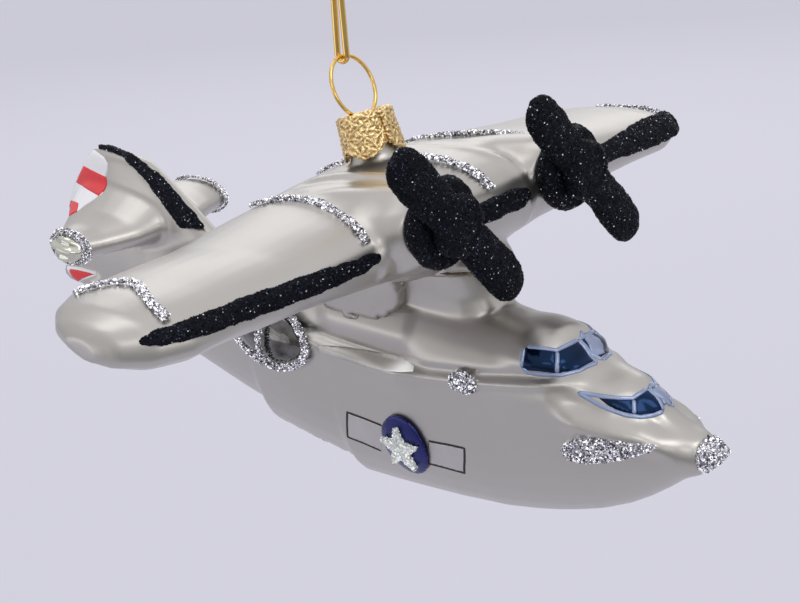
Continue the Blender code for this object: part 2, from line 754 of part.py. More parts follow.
for side, label in SIDES:
    rim = oval(BLISTER, -BLISTER_WIRE - GAP, 28)
    pad("blister_dome_" + label, hull_skin, (BLISTER["x"], BLISTER["z"]), rim, side,
        lambda share: GAP, dome(BLISTER["rise"]), 5, MIRROR)
    path = [hull_skin.stand(x, z, side, BLISTER_WIRE + GAP) for x, z in oval(BLISTER, 0.0, 44)]
    blister_hoop = hoop("blister_hoop_" + label, path, BLISTER_WIRE, 8, SILVER_GLITTER)
    path = []
    for step in range(11):
        share = -1.0 + 2.0 * step / 10
        lift = BLISTER_WIRE + GAP + (BLISTER["rise"] + GAP) * math.sqrt(max(0.0, 1.0 - share * share))
        x = BLISTER["x"] + 1.5 + 0.9 * share
        z = BLISTER["z"] + BLISTER["tall"] * share
        path.append(hull_skin.stand(x, z, side, lift))
    bar = wire("bar", path, BLISTER_WIRE * 0.8, 8, SILVER_GLITTER)
    boolean(blister_hoop, [bar], "UNION")
    pad("side_bump_" + label, hull_skin, (BUMP["x"], BUMP["z"]), oval(BUMP, 0.0, 16), side,
        lambda share: GAP, dome(BUMP["rise"]), 3, SILVER_GLITTER)
    cheek_middle = ((CHEEK["aft"] * 0.6 + CHEEK["fore"] * 0.4), CHEEK["z_aft"] * 0.6 + CHEEK["z_fore"] * 0.4)
    pad("cheek_patch_" + label, hull_skin, cheek_middle, teardrop(CHEEK, 24), side,
        lambda share: GAP, dome(CHEEK["rise"]), 3, SILVER_GLITTER)
    pad("roundel_" + label, hull_skin, (ROUNDEL["x"], ROUNDEL["z"]), oval(ROUNDEL, 0.0, 28), side,
        lambda share: GAP, dome(ROUNDEL["rise"]), 4, BLUE)
    star_base = dome(ROUNDEL["rise"])
    pad("star_" + label, hull_skin, (ROUNDEL["x"], ROUNDEL["z"]), star_rim(ROUNDEL, STAR_RADIUS), side,
        lambda share: 2 * GAP + star_base(share * 0.42), lambda share: STAR_RISE, 3, WHITE_GLITTER)

# Gold crown cap: thin metal whose rim is cut into four pointed petals.
cap_points = []
for angle in turns_of(CAP_STEPS):
    petal = abs(math.sin(2 * (angle - CAP_NOTCH)))
    rim_z = 1.0 - PETAL_DROP * petal
    profile = [(CAP_TOP_RADIUS - 0.5, CAP_HEIGHT), (CAP_TOP_RADIUS, CAP_HEIGHT - 0.5),
               (CAP_TOP_RADIUS + 0.2, CAP_HEIGHT / 2), (CAP_RIM_RADIUS, rim_z),
               (CAP_RIM_RADIUS - CAP_WALL, rim_z), (CAP_TOP_RADIUS + 0.2 - CAP_WALL, CAP_HEIGHT / 2),
               (CAP_TOP_RADIUS - CAP_WALL, CAP_HEIGHT - CAP_WALL)]
    for radius, height in profile:
        local = Vector((radius * math.cos(angle), radius * math.sin(angle), height))
        cap_points.append(CAP_BASE + CAP_TURN @ local)
CAP_ROW = 7
cap_faces = []
for step in range(CAP_STEPS):
    following = (step + 1) % CAP_STEPS
    for index in range(CAP_ROW - 1):
        cap_faces.append((step * CAP_ROW + index, following * CAP_ROW + index,
                          following * CAP_ROW + index + 1, step * CAP_ROW + index + 1))
cap_faces.append(tuple(step * CAP_ROW for step in range(CAP_STEPS)))
cap_faces.append(tuple(step * CAP_ROW + CAP_ROW - 1 for step in range(CAP_STEPS)))
cap = mesh_object("cap", cap_points, cap_faces, GOLD)
holes = []
for side, label in SIDES:
    start = CAP_BASE + CAP_TURN @ Vector((0.0, side * LEG_SPREAD, 0.0))
    holes.append(lathe("hole", [(HOLE_RADIUS, CAP_HEIGHT - 2.0), (HOLE_RADIUS, CAP_HEIGHT + 1.0)],
                       start, CAP_TURN, 12, GOLD))
boolean(cap, holes, "DIFFERENCE")

# Wire ring: a spring loop whose legs go down through the cap into the neck.
pivot = CAP_BASE + CAP_TURN @ Vector((0.0, 0.0, CAP_HEIGHT - CAP_WALL / 2))
start_angle = math.asin(LEG_SPREAD / RING_WIDE)
ring_middle = RING_TALL * math.cos(start_angle)
LOOP_STEPS = 40
path = [Vector((0.0, -LEG_SPREAD, -LEG_LENGTH)), Vector((0.0, -LEG_SPREAD, -LEG_LENGTH / 2))]
for step in range(LOOP_STEPS + 1):
    angle = start_angle + (2 * math.pi - 2 * start_angle) * step / LOOP_STEPS
    path.append(Vector((0.0, -RING_WIDE * math.sin(angle), ring_middle - RING_TALL * math.cos(angle))))
path += [Vector((0.0, LEG_SPREAD, -LEG_LENGTH / 2)), Vector((0.0, LEG_SPREAD, -LEG_LENGTH))]
path = [pivot + RING_TURN @ spot for spot in path]
ring = wire("hanging_ring", path, RING_WIRE, 10, GOLD)
ring_top = pivot + RING_TURN @ Vector((0.0, 0.0, ring_middle + RING_TALL))

# Gold hook: a narrow doubled bend below holds the ring, a wide bend above takes a twig.
hook_low = Vector((HANG_X, 0.0, ring_top.z - RING_WIRE - HOOK_WIRE - HOOK_PLAY))
bend_middle = hook_low + Vector((0.0, 0.0, HOOK_BEND))
top_middle = Vector((HANG_X, 0.0, HANG_HEIGHT + HOOK_WIRE - TOP_BEND))
path = [bend_middle + Vector((-HOOK_PINCH, 0.0, HOOK_RETURN))]
path.append(bend_middle + Vector((-(HOOK_PINCH + HOOK_BEND) / 2, 0.0, HOOK_RETURN / 2)))
LOW_STEPS = 12
for step in range(LOW_STEPS + 1):
    angle = math.pi + math.pi * step / LOW_STEPS
    path.append(bend_middle + Vector((HOOK_BEND * math.cos(angle), 0.0, HOOK_BEND * math.sin(angle))))
shank_start = bend_middle + Vector((HOOK_PINCH, 0.0, HOOK_RETURN))
shank_end = top_middle + Vector((TOP_BEND, 0.0, 0.0))
path.append(bend_middle + Vector(((HOOK_PINCH + HOOK_BEND) / 2, 0.0, HOOK_RETURN / 2)))
SHANK_STEPS = 8
for step in range(SHANK_STEPS):
    share = step / SHANK_STEPS
    ease = share * share * (3 - 2 * share)
    spot = shank_start.lerp(shank_end, share)
    spot.x = shank_start.x + (shank_end.x - shank_start.x) * ease
    path.append(spot)
TOP_STEPS = 20
for step in range(TOP_STEPS + 1):
    angle = TOP_SWEEP * step / TOP_STEPS
    path.append(top_middle + Vector((TOP_BEND * math.cos(angle), 0.0, TOP_BEND * math.sin(angle))))
hook = wire("hook", path, HOOK_WIRE, 12, GOLD)


def carry(name, spot, pieces, carrier):
    """Pieces that move together hang from an empty on their joint's axis."""
    empty = bpy.data.objects.new(name, None)
    bpy.context.scene.collection.objects.link(empty)
    empty.location = place(*spot)
    for piece in pieces:
        piece.parent = empty
        piece.matrix_parent_inverse = Matrix.Translation(-place(*spot))
    if carrier:
        empty.parent = carrier
        empty.matrix_parent_inverse = Matrix.Translation(-carrier.location)
    return empty


hung = [thing for thing in bpy.data.objects if thing.type == "MESH" and thing not in (ring, hook)]
ring_axis = carry("swing_on_hook", hook_low, [ring], None)
carry("ring_tilt_in_cap", pivot, hung, ring_axis)
print("ring top x", round(ring_top.x, 2), "hook at x", HANG_X)
for label, spot in (("swing on hook", hook_low), ("ring tilt in cap", pivot)):
    print(label, [round(value, 6) for value in place(*spot)])
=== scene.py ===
# %% [markdown]
# This is a mouth-blown glass ornament in the shape of a twin-engined flying boat. Its solids, which
# carry and join everything, are loaded first. This file then dresses them with soft glass bodies,
# glitter, gold metal and hand paint. The solids aren't moved or resized here, so the joints that
# were made for them still fit.

# %% Load the solids
import math

import bmesh
import bpy
import numpy as np
from mathutils import Matrix, Vector, geometry, noise
from mathutils.bvhtree import BVHTree


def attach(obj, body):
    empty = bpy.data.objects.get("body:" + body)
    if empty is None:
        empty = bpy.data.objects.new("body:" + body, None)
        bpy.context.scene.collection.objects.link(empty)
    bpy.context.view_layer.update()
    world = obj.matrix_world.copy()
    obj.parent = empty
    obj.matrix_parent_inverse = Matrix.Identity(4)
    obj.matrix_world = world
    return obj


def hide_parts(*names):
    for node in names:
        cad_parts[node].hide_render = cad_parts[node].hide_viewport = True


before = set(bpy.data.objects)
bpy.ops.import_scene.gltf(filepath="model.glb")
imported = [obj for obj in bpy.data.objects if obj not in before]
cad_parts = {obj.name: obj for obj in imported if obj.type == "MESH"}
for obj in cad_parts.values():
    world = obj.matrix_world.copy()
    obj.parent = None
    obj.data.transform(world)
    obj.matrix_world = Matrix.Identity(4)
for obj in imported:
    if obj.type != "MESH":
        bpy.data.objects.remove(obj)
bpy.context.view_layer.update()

MM = 0.001
BODY = "ornament"
HULL_ZERO = Vector((9.35, 0.0, -84.0)) * MM
SIDES = ((-1, "starboard"), (1, "port"))

# %% [markdown]
# The camera looks at the hull's zero from the starboard bow, a little from above, and leans
# slightly. Its lens is long, as on a product photograph, so the glass isn't distorted. Paint is
# placed later by looking through this same camera, so it is made first.

# %% Camera
AZIMUTH = math.radians(44.0)
ELEVATION = math.radians(20.5)
LEAN = math.radians(4.2)
IMAGE_WIDTH = 800
IMAGE_HEIGHT = 603
FOCAL_PIXELS = 1600.0
CAMERA_DISTANCE = 0.28
SENSOR = 36.0

back = Vector((math.sin(AZIMUTH) * math.cos(ELEVATION), -math.cos(AZIMUTH) * math.cos(ELEVATION),
               math.sin(ELEVATION)))
level = Vector((math.cos(AZIMUTH), math.sin(AZIMUTH), 0.0))
upward = back.cross(level)
image_right = level * math.cos(LEAN) - upward * math.sin(LEAN)
image_up = level * math.sin(LEAN) + upward * math.cos(LEAN)
camera_spot = HULL_ZERO + back * CAMERA_DISTANCE

lens = bpy.data.cameras.new("camera")
lens.sensor_width = SENSOR
lens.lens = FOCAL_PIXELS / IMAGE_WIDTH * SENSOR
lens.clip_start = 0.01
camera = bpy.data.objects.new("camera", lens)
bpy.context.scene.collection.objects.link(camera)
turn = Matrix((image_right, image_up, back)).transposed().to_4x4()
camera.matrix_world = Matrix.Translation(camera_spot) @ turn
bpy.context.scene.camera = camera
print("camera at", [round(value, 3) for value in camera_spot], "lens", round(lens.lens, 1))


def pixel_ray(across, down):
    """The direction from the camera through a place in the 800 by 603 picture."""
    return (image_right * (across - IMAGE_WIDTH / 2) - image_up * (down - IMAGE_HEIGHT / 2)
            - back * FOCAL_PIXELS).normalized()


# %% [markdown]
# Every finish gets small changes over its surface, because hand-coated glass is never even. One
# node group makes them all: slow patches of lighter and darker colour, a changing roughness and
# a fine grain for the bump. Each material places the group with its own values.

# %% Shader group for hand finishes
def new_tree(name, kind, inputs, outputs):
    tree = bpy.data.node_groups.new(name, kind)
    for label, socket, value in inputs:
        made = tree.interface.new_socket(name=label, in_out="INPUT", socket_type=socket)
        if value is not None:
            made.default_value = value
    for label, socket in outputs:
        tree.interface.new_socket(name=label, in_out="OUTPUT", socket_type=socket)
    return tree


def node(tree, kind, **settings):
    made = tree.nodes.new(kind)
    for name, value in settings.items():
        setattr(made, name, value)
    return made


def hand_finish_group():
    tree = new_tree("Hand finish", "ShaderNodeTree",
                    [("Color", "NodeSocketColor", (0.5, 0.5, 0.5, 1.0)),
                     ("Shade", "NodeSocketFloat", 0.1), ("Patch Scale", "NodeSocketFloat", 60.0),
                     ("Roughness", "NodeSocketFloat", 0.4), ("Roughness Spread", "NodeSocketFloat", 0.06),
                     ("Grain Scale", "NodeSocketFloat", 2500.0)],
                    [("Color", "NodeSocketColor"), ("Roughness", "NodeSocketFloat"),
                     ("Height", "NodeSocketFloat")])
    enter = node(tree, "NodeGroupInput")
    leave = node(tree, "NodeGroupOutput")
    where = node(tree, "ShaderNodeTexCoord")
    patches = node(tree, "ShaderNodeTexNoise")
    patches.inputs["Detail"].default_value = 3.0
    grain = node(tree, "ShaderNodeTexNoise")
    grain.inputs["Detail"].default_value = 2.0
    link = tree.links.new
    link(where.outputs["Object"], patches.inputs["Vector"])
    link(where.outputs["Object"], grain.inputs["Vector"])
    link(enter.outputs["Patch Scale"], patches.inputs["Scale"])
    link(enter.outputs["Grain Scale"], grain.inputs["Scale"])
    swing = node(tree, "ShaderNodeMath", operation="SUBTRACT")
    link(patches.outputs["Fac"], swing.inputs[0])
    swing.inputs[1].default_value = 0.5
    shade = node(tree, "ShaderNodeMath", operation="MULTIPLY_ADD")
    link(swing.outputs[0], shade.inputs[0])
    link(enter.outputs["Shade"], shade.inputs[1])
    shade.inputs[2].default_value = 1.0
    tint = node(tree, "ShaderNodeVectorMath", operation="SCALE")
    link(enter.outputs["Color"], tint.inputs[0])
    link(shade.outputs[0], tint.inputs["Scale"])
    rough = node(tree, "ShaderNodeMath", operation="MULTIPLY_ADD")
    link(swing.outputs[0], rough.inputs[0])
    link(enter.outputs["Roughness Spread"], rough.inputs[1])
    link(enter.outputs["Roughness"], rough.inputs[2])
    link(tint.outputs[0], leave.inputs["Color"])
    link(rough.outputs[0], leave.inputs["Roughness"])
    link(grain.outputs["Fac"], leave.inputs["Height"])
    return tree


HAND_FINISH = hand_finish_group()


def finish(name, colour, roughness, metallic, shade=0.16, patch=60.0, spread=0.06, grain=2500.0,
           bump=0.05, depth=0.00002, coat=0.0, coat_roughness=0.1):
    """A hand-coated material: one shader, the shared group and a fine bump."""
    material = bpy.data.materials.new(name)
    material.use_nodes = True
    tree = material.node_tree
    shader = tree.nodes["Principled BSDF"]
    shader.inputs["Metallic"].default_value = metallic
    shader.inputs["Coat Weight"].default_value = coat
    shader.inputs["Coat Roughness"].default_value = coat_roughness
    group = node(tree, "ShaderNodeGroup", node_tree=HAND_FINISH)
    for label, value in (("Color", (*colour, 1.0)), ("Shade", shade), ("Patch Scale", patch),
                         ("Roughness", roughness), ("Roughness Spread", spread), ("Grain Scale", grain)):
        group.inputs[label].default_value = value
    relief = node(tree, "ShaderNodeBump")
    relief.inputs["Strength"].default_value = bump
    relief.inputs["Distance"].default_value = depth
    tree.links.new(group.outputs["Color"], shader.inputs["Base Color"])
    tree.links.new(group.outputs["Roughness"], shader.inputs["Roughness"])
    tree.links.new(group.outputs["Height"], relief.inputs["Height"])
    tree.links.new(relief.outputs["Normal"], shader.inputs["Normal"])
    return material


# %% [markdown]
# Glitter is thousands of tiny flat flakes. A speckled texture would stay flat at the outline, so
# each flake is a small face that carries one random number, and a colour ramp turns it into the
# flake's own colour: mostly dark with a few bright ones in the black glitter, and a wide range of
# silvers in the coarse glitter. A second ramp makes the brighter flakes glow by themselves, as
# painted glints. The other finishes differ in colour, gloss and unevenness, and two of them also
# carry painted light: the cap's gold and the highlight on the seam.

# %% Materials
def add_ramp(tree, source, stops):
    """Turns a named attribute into colours in steps."""
    value = node(tree, "ShaderNodeAttribute", attribute_name=source)
    ramp = node(tree, "ShaderNodeValToRGB")
    ramp.color_ramp.interpolation = "CONSTANT"
    for index, (place, colour) in enumerate(stops):
        stop = ramp.color_ramp.elements[index] if index < 2 else ramp.color_ramp.elements.new(place)
        stop.position = place
        stop.color = (*colour, 1.0)
    tree.links.new(value.outputs["Fac"], ramp.inputs["Fac"])
    return ramp


def flake_finish(name, stops, roughness, metallic, painted_glints, glint_glow_strength):
    """The flakes past the steps in painted_glints glow by themselves: painted glints in place of flakes that
    catch a lamp.
    """
    material = bpy.data.materials.new(name)
    material.use_nodes = True
    tree = material.node_tree
    shader = tree.nodes["Principled BSDF"]
    shader.inputs["Metallic"].default_value = metallic
    shader.inputs["Roughness"].default_value = roughness
    shader.inputs["Emission Strength"].default_value = glint_glow_strength
    colours = add_ramp(tree, "glint", stops)
    painted_glint_colours = add_ramp(tree, "glint", [(0.0, (0.0, 0.0, 0.0))]
                        + [(place, (0.95 * glow, 0.97 * glow, glow)) for place, glow in painted_glints])
    tree.links.new(colours.outputs["Color"], shader.inputs["Base Color"])
    tree.links.new(painted_glint_colours.outputs["Color"], shader.inputs["Emission Color"])
    return material


def relief_shaded_finish(name, low, high):
    """Gold with painted light in its colour: brown as painted shade in the hollows, pale as painted
    highlight on the ridges.
    """
    material = finish(name, high, 0.24, 1.0, shade=0.2, patch=500.0, grain=5000.0, bump=0.1)
    tree = material.node_tree
    shader = tree.nodes["Principled BSDF"]
    relief = node(tree, "ShaderNodeAttribute", attribute_name="relief")
    mix = node(tree, "ShaderNodeMix", data_type="RGBA")
    mix.inputs["A"].default_value = (*low, 1.0)
    mix.inputs["B"].default_value = (*high, 1.0)
    tree.links.new(relief.outputs["Fac"], mix.inputs["Factor"])
    tree.links.new(mix.outputs["Result"], shader.inputs["Base Color"])
    return material


SATIN = finish("satin_silver", (0.49, 0.468, 0.440), 0.35, 0.95, shade=0.12, patch=45.0, coat=0.35,
               coat_roughness=0.32)
MIRROR = finish("mirror_glass", (0.62, 0.62, 0.54), 0.06, 1.0, shade=0.3, patch=160.0, spread=0.04)
GOLD = finish("gold_wire", (0.80, 0.54, 0.17), 0.12, 1.0, shade=0.12, patch=300.0)
CAP_GOLD_SHADED = relief_shaded_finish("cap_gold_shaded", (0.30, 0.13, 0.025), (1.0, 0.78, 0.40))
# Painted reflection: the blisters' mirror is darkened and streaked where it would show the wing's dark
# underside.
DARKENED_MIRROR = finish("mirror_painted_dark", (0.15, 0.145, 0.14), 0.08, 1.0, shade=3.2, patch=260.0, spread=0.1)
FRONT_PANE = finish("pale_window", (0.25, 0.30, 0.44), 0.20, 0.4, shade=1.2, patch=260.0, coat=0.2)
AMBER = finish("amber_glue", (0.15, 0.105, 0.05), 0.25, 0.2, shade=0.6, patch=500.0, coat=0.4)
BLUE = finish("blue_enamel", (0.006, 0.010, 0.13), 0.16, 0.5, shade=0.5, patch=250.0, coat=0.15)
PANE = finish("blue_window", (0.002, 0.016, 0.055), 0.14, 0.85, shade=2.4, patch=130.0, coat=0.10,
              coat_roughness=0.05)
# Painted highlight for the seam facet: a lacquer lighter than the satin, and a glow read from the shine
# attribute.
SEAM_HIGHLIGHT = finish("seam_painted_highlight", (0.58, 0.56, 0.525), 0.40, 0.6, shade=0.7, patch=160.0, grain=1400.0, bump=0.3)
highlight_glow = node(SEAM_HIGHLIGHT.node_tree, "ShaderNodeAttribute", attribute_name="shine")
highlight_shader = SEAM_HIGHLIGHT.node_tree.nodes["Principled BSDF"]
SEAM_HIGHLIGHT.node_tree.links.new(highlight_glow.outputs["Color"], highlight_shader.inputs["Emission Color"])
highlight_shader.inputs["Emission Strength"].default_value = 0.55
FRAME_PAINT = finish("lavender_paint", (0.27, 0.33, 0.50), 0.26, 0.45, shade=0.9, patch=420.0,
                     grain=1800.0, bump=0.4, coat=0.4)
OUTLINE = finish("brown_black_paint", (0.045, 0.034, 0.036), 0.45, 0.0, shade=0.6, patch=700.0, bump=0.2)
LILAC = finish("lilac_wash", (0.52, 0.50, 0.49), 0.36, 0.85, shade=0.2, patch=300.0)
RED = finish("red_paint", (0.70, 0.020, 0.028), 0.38, 0.0, shade=0.35, patch=500.0, grain=1500.0, bump=0.3)
WHITE = finish("white_paint", (0.80, 0.80, 0.83), 0.45, 0.0, shade=0.12, patch=500.0, grain=1500.0, bump=0.4)
BLACK_BASE = finish("black_glitter_base", (0.004, 0.0045, 0.007), 0.7, 0.0, shade=1.2, patch=900.0,
                    grain=2600.0, bump=0.8, depth=0.0001)
SILVER_BASE = finish("silver_glitter_base", (0.34, 0.33, 0.37), 0.38, 0.8, shade=1.4, patch=1400.0,
                     grain=2200.0, bump=0.8, depth=0.0001)
WHITE_BASE = finish("white_glitter_base", (0.74, 0.77, 0.75), 0.5, 0.1, shade=0.4, patch=1400.0,
                    grain=2200.0, bump=0.8, depth=0.0001)
# The last list in each flake finish gives the painted glints: flakes past those steps glow by themselves.
BLACK_FLAKE = flake_finish("black_flake", [(0.0, (0.005, 0.006, 0.010)), (0.50, (0.015, 0.017, 0.028)),
                                           (0.84, (0.050, 0.055, 0.085)), (0.965, (0.22, 0.23, 0.29))],
                           0.35, 1.0, [(0.982, 0.06), (0.990, 0.25), (0.9965, 1.0)], 2.2)
SILVER_FLAKE = flake_finish("silver_flake", [(0.0, (0.09, 0.085, 0.11)), (0.22, (0.46, 0.45, 0.50)),
                                             (0.44, (0.82, 0.81, 0.88)), (0.70, (1.0, 1.0, 1.0))],
                            0.18, 1.0, [(0.40, 0.08), (0.66, 0.24), (0.86, 1.0)], 0.7)
for dark in (BLACK_BASE, OUTLINE):
    dark.node_tree.nodes["Principled BSDF"].inputs["Specular IOR Level"].default_value = 0.12
WHITE_FLAKE = flake_finish("white_flake", [(0.0, (0.60, 0.64, 0.62)), (0.35, (0.80, 0.83, 0.80)),
                                           (0.75, (0.96, 0.97, 0.94)), (0.95, (0.99, 0.96, 0.78))],
                           0.3, 0.2, [(0.30, 0.25), (0.75, 1.0)], 0.35)
print("materials", len(bpy.data.materials))


# %% [markdown]
# The solids arrive as loose triangles with few sections, while blown glass has no edges at all. A
# Subdivision Surface would keep traces of the old sections, so a merged copy is rebuilt on a fine
# voxel grid and smoothed. The copy keeps its place, and smooth vertex moves can then add creases
# and dents where the mould and the fingers left them. One wing tip sags, with its glitter.

# %% Helpers for meshes
def merged_copy(*names):
    shape = bmesh.new()
    for name in names:
        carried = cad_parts[name]
        mesh = carried.data.copy()
        mesh.transform(carried.matrix_world)
        shape.from_mesh(mesh)
        bpy.data.meshes.remove(mesh)
    bmesh.ops.remove_doubles(shape, verts=shape.verts, dist=1e-6)
    mesh = bpy.data.meshes.new(names[0])
    shape.to_mesh(mesh)
    shape.free()
    return mesh


def evaluated(mesh, modifiers):
    """Runs a list of (type, settings) modifiers on a mesh and returns the plain result."""
    helper = bpy.data.objects.new("helper", mesh)
    bpy.context.scene.collection.objects.link(helper)
    for kind, settings in modifiers:
        modifier = helper.modifiers.new(kind.lower(), kind)
        for name, value in settings.items():
            setattr(modifier, name, value)
    graph = bpy.context.evaluated_depsgraph_get()
    result = bpy.data.meshes.new_from_object(helper.evaluated_get(graph))
    bpy.data.objects.remove(helper)
    return result


def smoothed(mesh, passes):
    return evaluated(mesh, [("SMOOTH", {"factor": 0.5, "iterations": passes})])


def softened(mesh, voxel, passes):
    return smoothed(evaluated(mesh, [("REMESH", {"mode": "VOXEL", "voxel_size": voxel * MM})]), passes)


def places(mesh):
    """Vertex places and normals as two arrays, places in millimetres from the hull's zero."""
    count = len(mesh.vertices)
    spots = np.empty(count * 3, dtype=np.float32)
    normals = np.empty(count * 3, dtype=np.float32)
    mesh.vertices.foreach_get("co", spots)
    mesh.vertex_normals.foreach_get("vector", normals)
    spots = (spots.reshape(-1, 3) - np.array(HULL_ZERO)) / MM
    return spots, normals.reshape(-1, 3)


def put(mesh, spots):
    """Sets the vertex places, given in millimetres from the hull's zero."""
    mesh.vertices.foreach_set("co", (spots * MM + np.array(HULL_ZERO)).astype(np.float32).ravel())
    mesh.update()


def push(mesh, heights):
    """Moves each vertex along its normal by its own height in millimetres."""
    spots, normals = places(mesh)
    put(mesh, spots + normals * heights[:, None])


def rise(low, high, values):
    """Goes smoothly from 0 at low to 1 at high."""
    share = np.clip((values - low) / (high - low), 0.0, 1.0)
    return share * share * (3.0 - 2.0 * share)


TIP_SAG = np.array((0.8, 0.6, -0.4))


def sagged(mesh):
    """The starboard wing tip hangs a little, with the glitter on it."""
    spots, normals = places(mesh)
    put(mesh, spots + rise(45.0, 68.0, -spots[:, 1])[:, None] * TIP_SAG)
    return mesh


def ridge(distance, width):
    return np.exp(-(distance / width) ** 2)


def wobble(spots, size, seed):
    """Smooth noise between -1 and 1, with lumps about size millimetres wide."""
    shift = Vector((seed * 7.3, seed * 3.1, seed * 5.7))
    return np.array([noise.noise(Vector(spot) / size + shift) for spot in spots.tolist()])


def add_piece(name, mesh, materials, body=BODY, replaced=()):
    if list(mesh.materials) != materials:
        mesh.materials.clear()
        for material in materials:
            mesh.materials.append(material)
    for polygon in mesh.polygons:
        polygon.use_smooth = True
    piece = bpy.data.objects.new(name, mesh)
    mesh.name = name
    bpy.context.scene.collection.objects.link(piece)
    if replaced:
        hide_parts(*replaced)
    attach(piece, body)
    return piece


# %% [markdown]
# The hull came out of a two-part mould, so a seam runs along its side as a raised crease with a
# shallow trough above it. A soft shoulder runs on to the nose. The glass swells at both cabins,
# under the wing and at the tail's foot, and it is drawn in at the windscreen. The keel is rough,
# the tail tips were pinched and all of it ripples a little. Sculpting could do this too, but sums
# of smooth bumps along the normals can be read and changed, and they keep the surface closed.

# %% Hull glass
GLASS_VOXEL = 0.50
GLASS_PASSES = 13
TAIL_TIP = {-1: 18.2, 1: 18.9}
SEAM_X = [-60.0, -13.0, 5.0, 14.0, 25.0, 41.0]
SEAM_Z = [-7.4, -7.0, -7.6, -7.4, -6.0, -3.2]
LEDGE_X = [-20.0, -13.0, 2.0, 8.5, 12.4, 14.5]
LEDGE_DEEP = [0.0, 0.6, 1.0, 1.2, 0.25, 0.0]
SHOULDER_X = [38.0, 41.4, 46.6, 49.9, 54.2, 57.5, 60.0]
SHOULDER_Z = [-6.6, -6.9, -7.5, -7.7, -7.8, -8.7, -9.6]
COCKPIT_SWELL = 0.75
BROW_DEEP = 1.1
BOW_SWELL = 0.4
SADDLE_SWELL = 0.55
FIN_TRIM = 0.5
TAIL_FOOT_SWELL = 1.4
KEEL_ROUGH = 0.22
TIP_RIPPLE = 0.42

hull_mesh = softened(merged_copy("hull"), GLASS_VOXEL, GLASS_PASSES)
spots, normals = places(hull_mesh)
x, y, z = spots[:, 0], spots[:, 1], spots[:, 2]
seam = z - np.interp(x, SEAM_X, SEAM_Z)
along = rise(-44.0, -30.0, x) * (1.0 - rise(39.0, 45.0, x)) * rise(3.0, 5.0, np.abs(y))
ledge = np.interp(x, LEDGE_X, LEDGE_DEEP) * rise(3.0, 5.0, np.abs(y))
hull_height = along * (0.45 * ridge(seam, 0.6) - 0.50 * ridge(seam - 1.5, 0.8))
hull_height += ledge * (1.05 * rise(-7.0, -0.2, seam) * (1.0 - rise(-0.2, 1.5, seam))
                        - 0.60 * rise(0.6, 1.6, seam) * (1.0 - rise(2.2, 6.5, seam)))
cockpit = rise(27.0, 33.0, x) * (1.0 - rise(39.4, 41.4, x)) * rise(-3.0, -0.6, z)
brow = rise(37.0, 39.5, x) * (1.0 - rise(43.0, 46.0, x)) * rise(-2.4, -0.4, z)
brow *= rise(0.3, 0.75, normals[:, 0])
bow = rise(45.0, 49.5, x) * (1.0 - rise(54.2, 56.4, x)) * rise(-7.6, -5.6, z)
hull_height += COCKPIT_SWELL * cockpit - BROW_DEEP * brow + BOW_SWELL * bow
saddle = rise(-14.0, -9.0, x) * (1.0 - rise(8.0, 11.0, x)) * rise(4.0, 6.0, np.abs(y))
hull_height += SADDLE_SWELL * saddle * rise(-5.0, -1.5, z) * (1.0 - rise(1.5, 3.0, z))
shoulder = z - np.interp(x, SHOULDER_X, SHOULDER_Z)
flank = rise(38.0, 44.0, x) * (1.0 - rise(57.0, 60.5, x)) * rise(1.2, 3.4, np.abs(y))
hull_height += flank * (0.65 * ridge(shoulder + 1.8, 1.5) - 0.95 * ridge(shoulder - 1.7, 1.7))
hull_height -= FIN_TRIM * rise(16.0, 17.4, z) * (1.0 - rise(-60.0, -50.0, x))
hull_height += TAIL_FOOT_SWELL * (1.0 - rise(-88.0, -84.0, x)) * (1.0 - rise(-12.4, -10.0, z))
keel = rise(-33.0, -31.0, x) * (1.0 - rise(-11.0, -9.5, x)) * (1.0 - rise(-31.0, -28.5, z))
hull_height += KEEL_ROUGH * keel * wobble(spots, 1.1, 3)
hull_height += 0.20 * wobble(spots, 22.0, 1) + 0.05 * wobble(spots, 6.0, 2)
tip_start = np.where(y > 0, TAIL_TIP[1], TAIL_TIP[-1])
tip = rise(tip_start, tip_start + 1.2, np.abs(y)) * (1.0 - rise(-60.0, -58.0, x))
hull_height += tip * (TIP_RIPPLE * np.sin((z - 2.6) * 2.6 + 0.25 * x) - 0.2)
push(hull_mesh, hull_height)
hull_glass = add_piece("hull_glass", hull_mesh, [SATIN, MIRROR], replaced=("hull",))
for polygon in hull_mesh.polygons:
    middle = (polygon.center - HULL_ZERO) / MM
    if abs(middle.y) > TAIL_TIP[1 if middle.y > 0 else -1] + 0.2 and middle.x < -60.0:
        polygon.material_index = 1
print("hull faces", len(hull_mesh.polygons))

# %% [markdown]
# The wing, both nacelles and the neck were blown as one. Folds run where the nacelles meet the
# wing, and the glass sinks a little beside them. The neck below is swollen and flares upwards, so
# that it closes on the hull, and the starboard tip is thinner underneath. It is made as the hull
# is, and a few smoothing passes come last, because they melt the bumps into the glass.

# %% Wing glass
FOLD_X = [-12.0, -4.0, 6.0, 18.0]
FOLD_Y = [17.0, 19.4, 21.6, 23.6]
NECK_SWELL = 1.15
NECK_FLARE = 0.11
TIP_THINNER = 0.9

